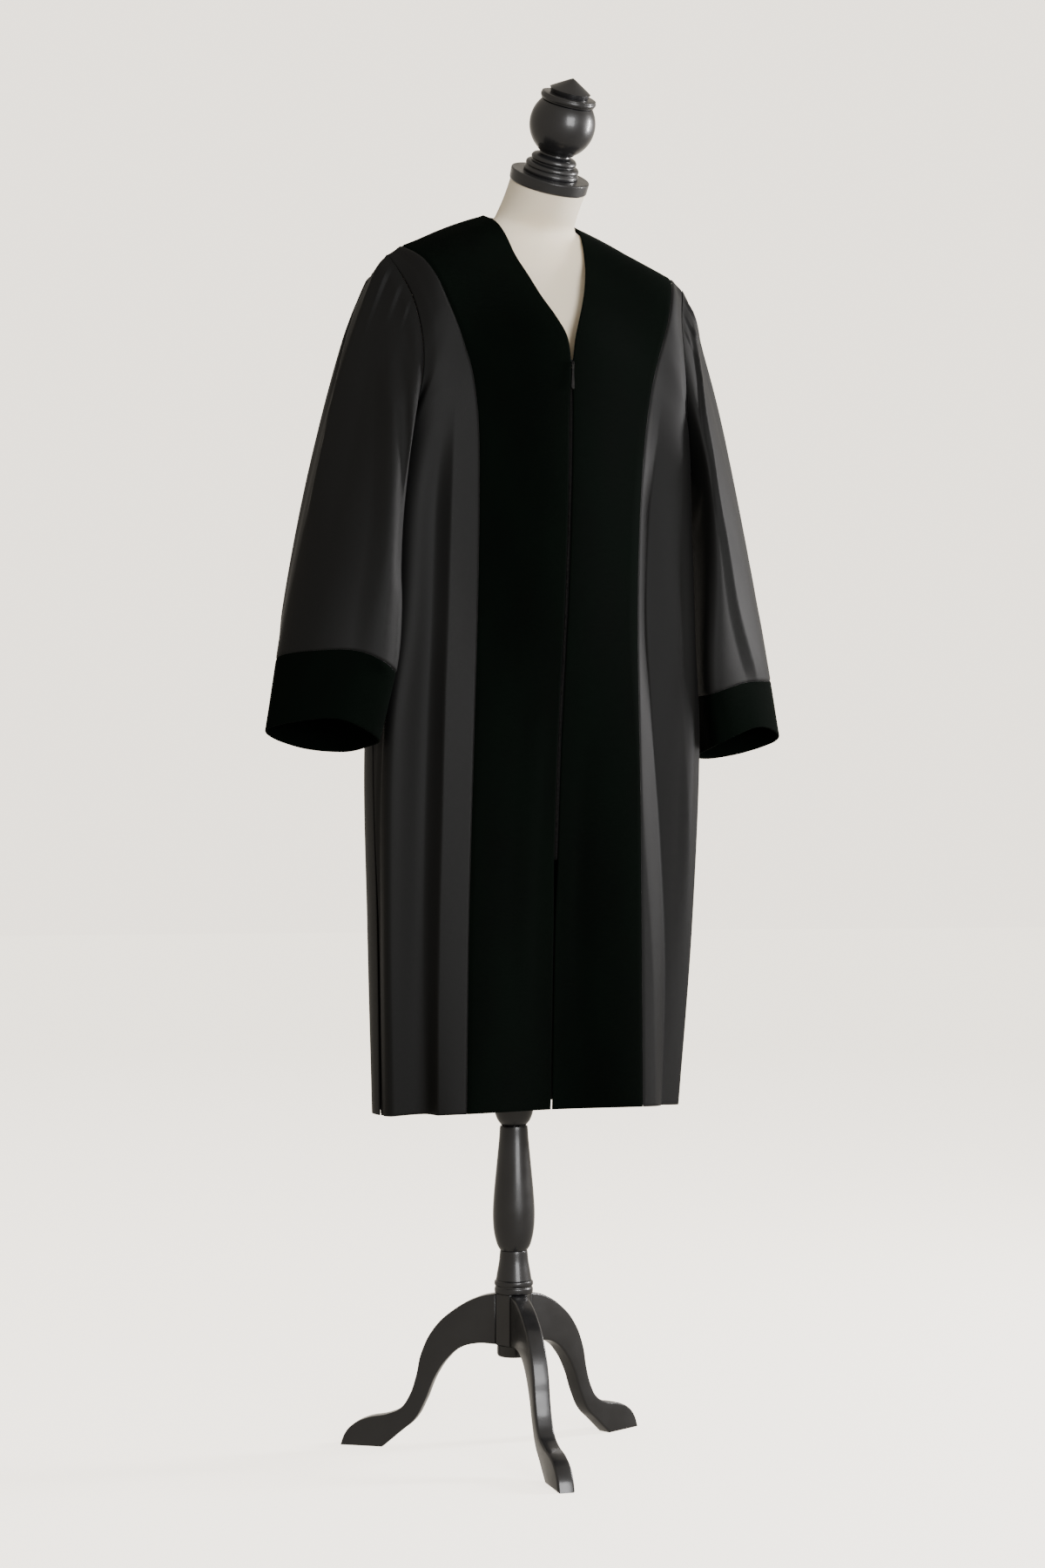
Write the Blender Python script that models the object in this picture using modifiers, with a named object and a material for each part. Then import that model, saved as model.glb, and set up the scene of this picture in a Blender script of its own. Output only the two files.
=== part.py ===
"""Judicial robe worn by a limbless dress form on a turned wooden tripod stand.

Metres, +Z up.  The origin lies on the floor under the middle of the whole outline.  The robe's
front faces -Y and the wearer's left is +X.  Every table and function below works in the stand's
own frame, whose axis is the pole: the empty "stand_axis" carries all the pieces to their place.
"""
import math
from bisect import bisect_right
from collections import namedtuple
from functools import lru_cache

import bmesh
import bpy
from mathutils import Matrix, Vector

# ---------------------------------------------------------------- driving dimensions, in metres

POLE_Y = 0.0385             # the pole stands this far behind the middle of the outline
GAP = 0.0003                # between sewn pieces, and between pieces that rest on each other

HEM_Z = 0.470
WOOL_WALL = 0.002
VELVET_WALL = 0.0024
CUFF_WALL = 0.003           # velvet turned in double
NECK_X = 0.070              # neck point on the shoulder seam, from the middle
SHOULDER_NECK_Z = 1.6865    # height of that point
BACK_NECK_T = 0.020         # how far the back neckline is scooped, as a share of the length
ZIP_TOP_T = 0.2135          # level of the V's point

ZIP_HALF = 0.0030           # half the zip's chain between the velvet edges
SLIT_HALF = 0.0012          # half the slit below the zip
TAPE_WIDTH = 0.0140
TAPE_THICKNESS = 0.0010

NECK_TILT = math.radians(30.5)      # the form's neck and finial lean forward
NECK_TOP = Vector((0.0, -0.103, 1.720))

POLE_RADIUS = 0.0125
HUB_RADIUS = 0.0255         # of the six-sided hub, across its corners
HUB_TOP = 0.2160
HUB_BOTTOM = 0.1468
LEG_THICKNESS = 0.0230
LEG_ROUNDING = 0.0030
FRONT_LEG_AZIMUTH = math.radians(-100.5)    # from +X towards +Y

SECTION_STEPS = 90          # points from which one half section's length is measured
# Levels of the panels' rows from the shoulder to the underarm, then even rows to the hem.
ARMHOLE_LEVELS = [0.0, 0.011, 0.026, 0.046, 0.070, 0.096, 0.124, 0.152, 0.182, ZIP_TOP_T, 0.240]
SKIRT_ROWS = 11
ZIP_END_ROW = 7             # the zip ends and the open slit starts at this row of the skirt
VELVET_COLUMNS = 7
WOOL_COLUMNS = 10
BACK_COLUMNS = 10           # on each side of the neck
BACK_NECK_COLUMNS = 8
TURN_STEPS = 24             # facets of the turned pieces

# ---------------------------------------------------------------------------- the robe's tables

# Levels run over the cloth from the shoulder seam (t = 0) to the hem (t = 1), and each table of
# edges gives one line of the left half down those levels.  The front's sections pass through its
# opening, the velvet's seam, the corner that hangs from the armhole, and the side.
Edge = namedtuple("Edge", "t x y z")
OPENING = [                 # the V's edge, then the edge at the zip and at the slit
    Edge(0.000, NECK_X, -0.0445, SHOULDER_NECK_Z),
    Edge(0.022, 0.0640, -0.0740, 1.6710),
    Edge(0.044, 0.0590, -0.0930, 1.6500),
    Edge(0.074, 0.0530, -0.1115, 1.6180),
    Edge(0.104, 0.0425, -0.1315, 1.5860),
    Edge(0.134, 0.0312, -0.1465, 1.5570),
    Edge(0.160, 0.0165, -0.1630, 1.5260),
    Edge(0.185, 0.0060, -0.1727, 1.4990),
    Edge(ZIP_TOP_T, 0.0014, -0.1740, 1.4610),
    Edge(0.265, ZIP_HALF, -0.1715, 1.3970),
    Edge(0.360, ZIP_HALF, -0.1675, 1.2770),
    Edge(0.480, ZIP_HALF, -0.1560, 1.1250),
    Edge(0.600, ZIP_HALF, -0.1390, 0.9740),
    Edge(0.732, ZIP_HALF, -0.1270, 0.8080),
    Edge(0.800, SLIT_HALF, -0.1220, 0.7220),
    Edge(1.000, SLIT_HALF, -0.1130, HEM_Z + 0.004),
]
VELVET_SEAM = [
    Edge(0.000, 0.2065, -0.0770, 1.6210),
    Edge(0.022, 0.1975, -0.0970, 1.6105),
    Edge(0.044, 0.1875, -0.1145, 1.5960),
    Edge(0.074, 0.1765, -0.1305, 1.5705),
    Edge(0.104, 0.1670, -0.1390, 1.5425),
    Edge(0.134, 0.1560, -0.1445, 1.5130),
    Edge(0.167, 0.1448, -0.1476, 1.4800),
    Edge(0.205, 0.1345, -0.1505, 1.4420),
    Edge(0.265, 0.1261, -0.1500, 1.3780),
    Edge(0.360, 0.1229, -0.1455, 1.2650),
    Edge(0.480, 0.1225, -0.1395, 1.1200),
    Edge(0.600, 0.1248, -0.1348, 0.9710),
    Edge(0.800, 0.1296, -0.1294, 0.7190),
    Edge(1.000, 0.1320, -0.1280, HEM_Z + 0.004),
]
CORNER = [
    Edge(0.000, 0.2170, -0.0770, 1.6130),
    Edge(0.050, 0.1990, -0.1130, 1.5770),
    Edge(0.104, 0.1860, -0.1365, 1.5210),
    Edge(0.134, 0.1820, -0.1420, 1.4870),
    Edge(0.167, 0.1850, -0.1440, 1.4480),
    Edge(0.205, 0.1970, -0.1380, 1.4060),
    Edge(0.235, 0.2030, -0.1330, 1.3800),
    Edge(0.265, 0.2060, -0.1310, 1.3520),
    Edge(0.360, 0.2120, -0.1255, 1.2500),
    Edge(0.480, 0.2170, -0.1240, 1.1100),
    Edge(0.600, 0.2290, -0.1120, 0.9680),
    Edge(0.800, 0.2260, -0.0970, 0.7180),
    Edge(1.000, 0.2140, -0.0800, HEM_Z),
]
ARMHOLE_FRONT = [
    Edge(0.000, 0.2260, -0.0765, 1.6065),
    Edge(0.022, 0.2190, -0.0890, 1.5890),
    Edge(0.050, 0.2086, -0.1050, 1.5600),
    Edge(0.074, 0.2030, -0.1170, 1.5340),
    Edge(0.104, 0.1997, -0.1280, 1.5000),
    Edge(0.134, 0.1988, -0.1345, 1.4630),
    Edge(0.167, 0.2015, -0.1320, 1.4240),
    Edge(0.205, 0.2055, -0.1060, 1.3850),
    Edge(0.235, 0.2078, -0.0750, 1.3650),
    Edge(0.265, 0.2090, -0.0400, 1.3550),
]
ARMHOLE_BACK = [
    Edge(0.000, 0.2260, -0.0765, 1.6065),
    Edge(0.022, 0.2240, -0.0500, 1.5960),
    Edge(0.050, 0.2180, -0.0190, 1.5720),
    Edge(0.074, 0.2120, 0.0010, 1.5460),
    Edge(0.104, 0.2060, 0.0170, 1.5100),
    Edge(0.134, 0.2020, 0.0250, 1.4700),
    Edge(0.167, 0.2020, 0.0240, 1.4280),
    Edge(0.205, 0.2050, 0.0060, 1.3880),
    Edge(0.235, 0.2080, -0.0150, 1.3660),
    Edge(0.265, 0.2090, -0.0400, 1.3550),
]
SIDE_SEAM = [               # from the underarm to the hem
    Edge(0.265, 0.2090, -0.0400, 1.3550),
    Edge(0.360, 0.2120, -0.0400, 1.2500),
    Edge(0.480, 0.2190, -0.0460, 1.1120),
    Edge(0.600, 0.2380, -0.0620, 0.9680),
    Edge(0.800, 0.2290, -0.0560, 0.7180),
    Edge(1.000, 0.2210, -0.0470, HEM_Z),
]

# The back's sections are superellipses from the middle line to the side, and droop bends their
# height down to the side's.  Above the back neckline the middle line is only a guide.
Level = namedtuple("Level", "t y z square droop")
BACK = [
    Level(0.000, -0.038, 1.701, 1.0, 1.5),
    Level(0.022, -0.014, 1.693, 1.7, 1.5),
    Level(0.048, 0.014, 1.665, 2.0, 1.4),
    Level(0.078, 0.036, 1.630, 2.1, 1.3),
    Level(0.112, 0.054, 1.585, 2.2, 1.2),
    Level(0.144, 0.066, 1.543, 2.3, 1.1),
    Level(0.176, 0.073, 1.505, 2.3, 1.0),
    Level(0.216, 0.077, 1.455, 2.3, 1.0),
    Level(0.265, 0.078, 1.395, 2.3, 1.0),
    Level(0.360, 0.076, 1.270, 2.3, 1.0),
    Level(0.480, 0.074, 1.120, 2.3, 1.0),
    Level(0.600, 0.075, 0.970, 2.4, 1.0),
    Level(0.800, 0.076, 0.718, 2.6, 1.0),
    Level(1.000, 0.076, HEM_Z, 2.4, 1.0),
]

# The shoulder seam that the front and the back share, from the middle to the armhole.
Shoulder = namedtuple("Shoulder", "x y z")
SHOULDER = [
    Shoulder(0.000, -0.0380, 1.7010),
    Shoulder(0.035, -0.0400, 1.6970),
    Shoulder(NECK_X, -0.0445, SHOULDER_NECK_Z),
    Shoulder(0.110, -0.0585, 1.6665),
    Shoulder(0.150, -0.0700, 1.6485),
    Shoulder(0.190, -0.0765, 1.6310),
    Shoulder(0.226, -0.0765, 1.6065),
]

# Folds run down to the hem.  side is -1 for the wearer's right, 1 for the left and 0 for both;
# place is the distance from the middle along the cloth; near and far are the fold's widths
# towards the middle and towards the side; a positive depth is a ridge.
Fold = namedtuple("Fold", "face side start_t place_top place_hem near far depth_top depth_hem")
FOLDS = [
    Fold("front", -1, 0.12, 0.174, 0.182, 0.016, 0.034, -0.012, -0.013),
    Fold("front", 1, 0.24, 0.142, 0.190, 0.018, 0.044, -0.008, -0.015),
    Fold("back", 0, 0.30, 0.000, 0.000, 0.036, 0.036, 0.004, 0.012),
    Fold("back", 0, 0.26, 0.050, 0.056, 0.026, 0.026, -0.005, -0.012),
    Fold("back", 0, 0.24, 0.100, 0.110, 0.032, 0.032, 0.005, 0.014),
    Fold("back", 0, 0.30, 0.150, 0.166, 0.028, 0.028, -0.004, -0.014),
]
FOLD_FADE_T = 0.16          # length over which a fold grows from its start

# Rings of a sleeve's cuff, in the left half and mirrored for the right.  turn is the share of the
# way round, from the outer edge over the front to the inside and the back.  The two cuffs hang
# at slightly different heights.
Ring = namedtuple("Ring", "turn x y z_right z_left")
CUFF_TOP = [
    Ring(0.000, 0.371, -0.062, 1.069, 1.065),
    Ring(0.130, 0.344, -0.110, 1.073, 1.059),
    Ring(0.260, 0.290, -0.138, 1.072, 1.053),
    Ring(0.390, 0.238, -0.136, 1.048, 1.036),
    Ring(0.500, 0.242, -0.084, 1.042, 1.036),
    Ring(0.620, 0.256, -0.028, 1.042, 1.042),
    Ring(0.760, 0.302, 0.002, 1.050, 1.050),
    Ring(0.890, 0.351, -0.016, 1.062, 1.062),
    Ring(1.000, 0.371, -0.062, 1.069, 1.065),
]
CUFF_BOTTOM = [
    Ring(0.000, 0.387, -0.060, 0.974, 0.978),
    Ring(0.130, 0.361, -0.106, 0.982, 0.988),
    Ring(0.260, 0.312, -0.133, 0.984, 0.992),
    Ring(0.390, 0.257, -0.126, 0.960, 0.969),
    Ring(0.500, 0.256, -0.083, 0.952, 0.960),
    Ring(0.620, 0.267, -0.034, 0.948, 0.954),
    Ring(0.760, 0.312, -0.010, 0.952, 0.954),
    Ring(0.890, 0.362, -0.020, 0.964, 0.964),
    Ring(1.000, 0.387, -0.060, 0.974, 0.978),
]

# Pleats of the sleeve head: place is the turn of the folded edge, width is in turns, and reach is
# the share of the sleeve's length after which the pleat has faded out.
Pleat = namedtuple("Pleat", "place width depth reach")
PLEATS = [
    Pleat(0.030, 0.050, 0.0070, 0.60),
    Pleat(0.085, 0.045, 0.0060, 0.34),
    Pleat(0.130, 0.040, 0.0050, 0.24),
    Pleat(-0.050, 0.050, 0.0080, 0.45),
    Pleat(-0.110, 0.050, 0.0070, 0.30),
]
PLEAT_DROP = 0.25           # the quick side of a pleat, as a share of its width
SLEEVE_ROWS = 9
CUFF_ROWS = 3
SLEEVE_SET_OUT = 0.0005     # the sleeve starts this far outside the armhole
SLEEVE_ROOT = 0.06          # share of the sleeve over which its wall turns from the armhole's plane
SLEEVE_TAIL = 0.080         # straight run above the cuff
Lead = namedtuple("Lead", "turn x y z")
SLEEVE_LEAD = [             # direction and pull of the sleeve where it leaves the armhole
    Lead(0.000, 0.062, 0.000, -0.100),
    Lead(0.130, 0.050, -0.020, -0.108),
    Lead(0.250, 0.034, -0.034, -0.110),
    Lead(0.390, 0.038, -0.036, -0.084),
    Lead(0.500, 0.042, -0.014, -0.050),
    Lead(0.620, 0.036, 0.022, -0.076),
    Lead(0.750, 0.040, 0.024, -0.100),
    Lead(0.890, 0.066, 0.014, -0.096),
    Lead(1.000, 0.062, 0.000, -0.100),
]

# ------------------------------------------------------------------------- the stand's tables

# Sections of the dress form, from its base to the top of its neck: place of the middle, lean of
# the section, half width, reach to the front and to the back, and squareness.
Torso = namedtuple("Torso", "z y lean half_width front back square")
TORSO = [
    Torso(0.860, -0.036, 0.0, 0.150, 0.082, 0.080, 2.2),
    Torso(0.930, -0.036, 0.0, 0.164, 0.090, 0.086, 2.2),
    Torso(1.010, -0.038, 0.0, 0.160, 0.086, 0.082, 2.2),
    Torso(1.120, -0.042, 0.0, 0.130, 0.076, 0.070, 2.2),
    Torso(1.250, -0.044, 0.0, 0.148, 0.092, 0.084, 2.3),
    Torso(1.380, -0.046, 0.0, 0.164, 0.107, 0.096, 2.3),
    Torso(1.470, -0.046, 0.0, 0.168, 0.108, 0.096, 2.2),
    Torso(1.530, -0.048, 0.0, 0.180, 0.092, 0.088, 2.0),
    Torso(1.570, -0.052, 0.0, 0.192, 0.070, 0.072, 1.9),
    Torso(1.600, -0.058, 0.0, 0.196, 0.050, 0.058, 1.8),
    Torso(1.622, -0.066, 2.0, 0.190, 0.036, 0.049, 1.7),
    Torso(1.640, -0.065, 5.0, 0.1605, 0.031, 0.046, 1.6),
    Torso(1.656, -0.060, 9.0, 0.1215, 0.032, 0.044, 1.5),
    Torso(1.672, -0.058, 14.0, 0.0670, 0.040, 0.043, 1.7),
    Torso(1.690, -0.074, 20.0, 0.0545, 0.049, 0.049, 2.0),
    Torso(1.707, -0.091, 27.0, 0.052, 0.051, 0.052, 2.0),
    Torso(1.720, -0.103, 30.5, 0.052, 0.052, 0.052, 2.0),
]
TORSO_COLUMNS = 32

# Outlines of the turned pieces, top to bottom, as radius and height.  The finial's heights are
# measured along its leaning axis from the top of the neck, the column's from the floor.
NECK_CAP = [(0.0, 0.0160), (0.0535, 0.0160), (0.0545, 0.0150), (0.0530, 0.0015), (0.0520, 0.0),
            (0.0, 0.0)]
CAP_COLLAR = [(0.0, 0.0452), (0.0214, 0.0452), (0.0225, 0.0425), (0.0285, 0.0402), (0.0310, 0.0372),
              (0.0310, 0.0345), (0.0288, 0.0325), (0.0290, 0.0312), (0.0345, 0.0300),
              (0.0365, 0.0275), (0.0366, 0.0250), (0.0350, 0.0236), (0.0362, 0.0222),
              (0.0376, 0.0195), (0.0372, 0.0163), (0.0, 0.0163)]
BALL_RADIUS = 0.0445
BALL_HEIGHT = 0.0845
BEAD = [(0.0, 0.1236), (0.0330, 0.1236), (0.0370, 0.1210), (0.0378, 0.1185), (0.0365, 0.1155),
        (0.0320, 0.1130), (0.0, 0.1130)]
CONE = [(0.0, 0.1464), (0.0060, 0.1432), (0.0262, 0.1310), (0.0270, 0.1292), (0.0255, 0.1240),
        (0.0, 0.1240)]
KNOB = [(0.0, 0.5010), (0.0160, 0.5005), (0.0235, 0.4940), (0.0270, 0.4830), (0.0275, 0.4720),
        (0.0262, 0.4620), (0.0225, 0.4520), (0.0165, 0.4440), (0.0, 0.4440)]
VASE = [(0.0, 0.4436), (0.0180, 0.4436), (0.0192, 0.4420), (0.0204, 0.4250), (0.0238, 0.3900),
        (0.0272, 0.3540), (0.0288, 0.3260), (0.0276, 0.3020), (0.0232, 0.2830), (0.0185, 0.2745),
        (0.0, 0.2745)]
SPREAD = [(0.0, 0.2741), (0.0182, 0.2741), (0.0190, 0.2725), (0.0202, 0.2600), (0.0228, 0.2450),
          (0.0246, 0.2345), (0.0, 0.2345)]
SHOULDER_RING = [(0.0, 0.2341), (0.0250, 0.2341), (0.0264, 0.2325), (0.0266, 0.2285),
                 (0.0254, 0.2265), (0.0254, 0.2250), (0.0264, 0.2230), (0.0262, 0.2180),
                 (0.0248, 0.2163), (0.0, 0.2163)]
PLUG = [(0.0, 0.1465), (0.0228, 0.1465), (0.0228, 0.1350), (0.0215, 0.1318), (0.0180, 0.1310),
        (0.0, 0.1310)]
FORM_BASE = [(0.0, 0.8597), (0.0400, 0.8597), (0.0415, 0.8580), (0.0415, 0.8480), (0.0400, 0.8460),
             (0.0, 0.8460)]

# Outline of a leg board, as distance from the pole's axis and height, clockwise from its top.
LEG_OUTLINE = [
    (0.0490, 0.2096), (0.0850, 0.1900), (0.1120, 0.1640), (0.1290, 0.1310), (0.1370, 0.0970),
    (0.1460, 0.0720), (0.1585, 0.0545), (0.1760, 0.0460), (0.2080, 0.0385), (0.2270, 0.0290),
    (0.2385, 0.0165),
]
LEG_UNDERSIDE = [
    (0.1600, 0.0210), (0.1385, 0.0395), (0.1245, 0.0640), (0.1095, 0.0990), (0.0920, 0.1245),
    (0.0735, 0.1400), (0.0500, 0.1470),
]
LEG_TOE = 0.2450
LEG_HEEL = 0.1850

# The zip's slider and its pull tab, about the tab's hinge.
HINGE_T = 0.2100            # level of the hinge on the fronts
HINGE_AHEAD = 0.0016        # of the cloth's face
RING_OUTER = 0.0021
RING_INNER = 0.00115
RING_WIDTH = 0.0012
PULL_THICKNESS = 0.0012
PULL_BAR = 0.0011           # height of the bar inside the slider's ring
PULL_EYE = (0.0019, 0.0022)     # width and height of the opening under the bar
PULL_OUTLINE = [            # half width and height from the hinge, top to bottom
    (0.0014, 0.00055), (0.0018, 0.0002), (0.0018, -0.0050), (0.0013, -0.0100), (0.0016, -0.0200),
    (0.0022, -0.0300), (0.0022, -0.0340), (0.0014, -0.0354),
]
SLIDER_BODY = (0.0066, 0.0026, 0.0090)
SLIDER_SET_BACK = 0.0008    # of the body behind the velvet, where the fronts part
TAPE_START = 0.0050         # the tapes start this far below the V's point, clear of the slider


# ------------------------------------------------------------------------------ scene and looks

def clear_scene():
    for old in list(bpy.data.objects):
        bpy.data.objects.remove(old, do_unlink=True)


def make_material(name, colour, roughness, metallic=0.0):
    material = bpy.data.materials.new(name)
    material.use_nodes = True
    surface = material.node_tree.nodes["Principled BSDF"]
    surface.inputs["Base Color"].default_value = (*colour, 1.0)
    surface.inputs["Roughness"].default_value = roughness
    surface.inputs["Metallic"].default_value = metallic
    return material


def make_empty(name, parent=None, location=(0, 0, 0), rotation=(0, 0, 0)):
    empty = bpy.data.objects.new(name, None)
    parts.objects.link(empty)
    empty.parent = parent
    empty.location = location
    empty.rotation_euler = rotation
    return empty


def add_object(name, data, material, parent):
    """Link a mesh or a curve as one named piece that moves with its parent."""
    piece = bpy.data.objects.new(name, data)
    data.materials.append(material)
    parts.objects.link(piece)
    piece.parent = parent
    return piece


# --------------------------------------------------------------------------- curves and sections

def along(rows, t):
    """The columns after t of a table, on a smooth curve through its rows."""
    last = len(rows) - 1
    k = min(sum(row[0] <= t for row in rows[1:]), last - 1)
    before, start, end, after = rows[max(k - 1, 0)], rows[k], rows[k + 1], rows[min(k + 2, last)]
    step = end[0] - start[0]
    f = (t - start[0]) / step
    values = []
    for p, a, b, q in zip(before[1:], start[1:], end[1:], after[1:]):
        slope_a = (b - p) / (end[0] - before[0]) * step
        slope_b = (q - a) / (after[0] - start[0]) * step
        values.append(a + f * (slope_a + f * (3 * (b - a) - 2 * slope_a - slope_b
                                              + f * (2 * (a - b) + slope_a + slope_b))))
    return values


def around(rings, turn):
    """The columns after turn of a closed ring table."""
    turn = turn % 1.0
    before = (rings[-2][0] - 1.0, *rings[-2][1:])
    after = (rings[1][0] + 1.0, *rings[1][1:])
    return along([before, *rings, after], turn)


def spread(start, end, count):
    return [start + (end - start) * i / count for i in range(count + 1)]


def smooth(f):
    f = min(max(f, 0.0), 1.0)
    return f * f * (3 - 2 * f)


def bump(distance, near, far):
    """A soft rise from 0 to 1 over the near width and back to 0 over the far one."""
    width = near if distance < 0 else far
    if abs(distance) >= width:
        return 0.0
    return 0.5 + 0.5 * math.cos(math.pi * distance / width)


def side_edge(face, t):
    """The outer edge of one half of the front or the back, on the wearer's left."""
    underarm = SIDE_SEAM[0].t
    if t >= underarm:
        return Vector(along(SIDE_SEAM, t))
    return Vector(along(ARMHOLE_FRONT if face == "front" else ARMHOLE_BACK, t))


def curve_through(points, leave_direction, count):
    """Evenly many points on a smooth curve through a few."""
    directions = [leave_direction]
    directions += [(b - a).normalized() for a, b in zip(points, points[2:])]
    directions.append((points[-1] - points[-2]).normalized())
    result = [points[0]]
    for k in range(len(points) - 1):
        start, end = points[k], points[k + 1]
        reach = (end - start).length
        leave, arrive = directions[k] * reach, directions[k + 1] * reach
        for i in range(1, count + 1):
            f = i / count
            g = 1 - f
            result.append(start * ((1 + 2 * f) * g * g) + end * (f * f * (1 + 2 * g))
                          + leave * (f * g * g) - arrive * (f * f * g))
    return result


@lru_cache(maxsize=None)
def half_section(face, t):
    """Points across one half of the robe at a level, and their distances along the cloth."""
    side = side_edge(face, t)
    if t == 0.0:
        points = [Vector((x, *along(SHOULDER, x))) for x in spread(0.0, side.x, SECTION_STEPS)]
    elif face == "front":
        opening, seam, corner = (Vector(along(rows, t)) for rows in (OPENING, VELVET_SEAM, CORNER))
        middle = Vector((0.0, opening.y, opening.z))
        level_out = (seam - opening).normalized().lerp(Vector((1, 0, 0)), smooth(t / ZIP_TOP_T))
        points = [middle, *curve_through([opening, seam, corner, side], level_out.normalized(),
                                         SECTION_STEPS // 3)]
    else:
        level = Level(t, *along(BACK, t))
        points = []
        for angle in spread(0.0, math.pi / 2, SECTION_STEPS):
            x = side.x * math.sin(angle) ** (2 / level.square)
            y = side.y + (level.y - side.y) * abs(math.cos(angle)) ** (2 / level.square)
            points.append(Vector((x, y, level.z + (side.z - level.z) * (x / side.x) ** level.droop)))
    distances = [0.0]
    for a, b in zip(points, points[1:]):
        distances.append(distances[-1] + (b - a).length)
    return points, distances


def half_length(face, t):
    return half_section(face, t)[1][-1]


def plain_point(face, s, t):
    """A point of the robe without its folds; s runs from -1 at one side to 1 at the other."""
    t = min(max(t, 0.0), 1.0)
    points, distances = half_section(face, t)
    target = min(abs(s), 1.0) * distances[-1]
    k = min(max(bisect_right(distances, target), 1), len(points) - 1)
    f = (target - distances[k - 1]) / (distances[k] - distances[k - 1])
    point = points[k - 1].lerp(points[k], f)
    point.x = math.copysign(point.x, s)
    return point


def plain_normal(face, s, t):
    """Outward direction of the robe without its folds."""
    reach = 0.012
    inner, outer = max(s - reach, -1.0), min(s + reach, 1.0)
    upper, lower = max(t - reach, 0.0), min(t + reach, 1.0)
    across = plain_point(face, outer, t) - plain_point(face, inner, t)
    down = plain_point(face, s, lower) - plain_point(face, s, upper)
    normal = down.cross(across) if face == "front" else across.cross(down)
    return normal.normalized()


def fold_height(face, s, t):
    """How far the folds move the cloth outwards."""
    distance = abs(s) * half_length(face, t)
    height = 0.0
    for fold in FOLDS:
        if fold.face != face or fold.side * s < 0:
            continue
        grown = smooth((t - fold.start_t) / FOLD_FADE_T)
        if grown == 0.0:
            continue
        share = (t - fold.start_t) / (1.0 - fold.start_t)
        place = fold.place_top + (fold.place_hem - fold.place_top) * share
        depth = fold.depth_top + (fold.depth_hem - fold.depth_top) * share
        height += grown * depth * bump(distance - place, fold.near, fold.far)
    return height


def cloth_point(face, s, t):
    return plain_point(face, s, t) + plain_normal(face, s, t) * fold_height(face, s, t)


def wall_direction(face, s, t):
    """Direction through the wall: the same on both sides of every seam."""
    sideways = Vector((math.copysign(1.0, s), 0, 0))
    direction = plain_normal(face, s, t).lerp(sideways, smooth((abs(s) - 0.93) / 0.07))
    slope = side_edge(face, 0.0) - Vector((NECK_X, 0, SHOULDER_NECK_Z))
    upwards = Vector((math.copysign(-slope.z, s), 0, slope.x)).normalized()
    return direction.lerp(upwards, 1.0 - smooth(t / 0.022)).normalized()


def s_at(face, x, t):
    """The s of the place where a half section is x from the middle."""
    points, distances = half_section(face, t)
    k = next((i for i, point in enumerate(points) if point.x >= x), len(points) - 1)
    f = (x - points[k - 1].x) / (points[k].x - points[k - 1].x)
    return (distances[k - 1] + f * (distances[k] - distances[k - 1])) / distances[-1]


# ----------------------------------------------------------------------------------- cloth walls

def split_cell(grid, j, i):
    """A grid cell's two triangles, cut along its shorter diagonal.  Both faces of a wall take the
    same cut, because two different cuts of a twisted cell would pass through each other."""
    columns = len(grid[0])
    a, b, c, d = (j, i), (j + 1, i), (j + 1, i + 1), (j, i + 1)
    first, second = ((grid[start[0]][start[1] % columns] - grid[end[0]][end[1] % columns]).length
                     for start, end in ((a, c), (b, d)))
    return ((a, b, c), (c, d, a)) if first <= second else ((b, c, d), (d, a, b))


def shell_mesh(name, outer, inner, closed):
    """A wall between two grids of points; closed joins the last column to the first."""
    rows, columns = len(outer), len(outer[0])
    count = rows * columns
    points = [point for grid in (outer, inner) for row in grid for point in row]

    def at(layer, row, column):
        return layer * count + row * columns + column % columns

    faces = []
    for j in range(rows - 1):
        for i in range(columns if closed else columns - 1):
            for triangle in split_cell(outer, j, i):
                faces.append([at(0, *corner) for corner in triangle])
                faces.append([at(1, *corner) for corner in reversed(triangle)])
    for i in range(columns if closed else columns - 1):
        faces.append([at(0, 0, i), at(0, 0, i + 1), at(1, 0, i + 1), at(1, 0, i)])
        last = rows - 1
        faces.append([at(0, last, i + 1), at(0, last, i), at(1, last, i), at(1, last, i + 1)])
    if not closed:
        for j in range(rows - 1):
            faces.append([at(0, j + 1, 0), at(0, j, 0), at(1, j, 0), at(1, j + 1, 0)])
            last = columns - 1
            faces.append([at(0, j, last), at(0, j + 1, last), at(1, j + 1, last), at(1, j, last)])
    mesh = bpy.data.meshes.new(name)
    mesh.from_pydata(points, [], faces)
    mesh.shade_smooth()
    mesh.set_sharp_from_angle(angle=math.radians(50))
    return mesh


def trimmed(grid, amounts, closed=False):
    """A grid whose border is drawn in: amounts are for its top, bottom, first and last columns."""
    top, bottom, first, last = amounts

    def towards(point, neighbour, amount):
        return point + (neighbour - point).normalized() * amount

    grid = [list(row) for row in grid]
    grid[0] = [towards(a, b, top) for a, b in zip(grid[0], grid[1])]
    grid[-1] = [towards(a, b, bottom) for a, b in zip(grid[-1], grid[-2])]
    if not closed:
        for row in grid:
            row[0] = towards(row[0], row[1], first)
            row[-1] = towards(row[-1], row[-2], last)
    return grid


def levels_down():
    """The levels of the panels' rows."""
    return ARMHOLE_LEVELS + spread(SIDE_SEAM[0].t, 1.0, SKIRT_ROWS)


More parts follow.
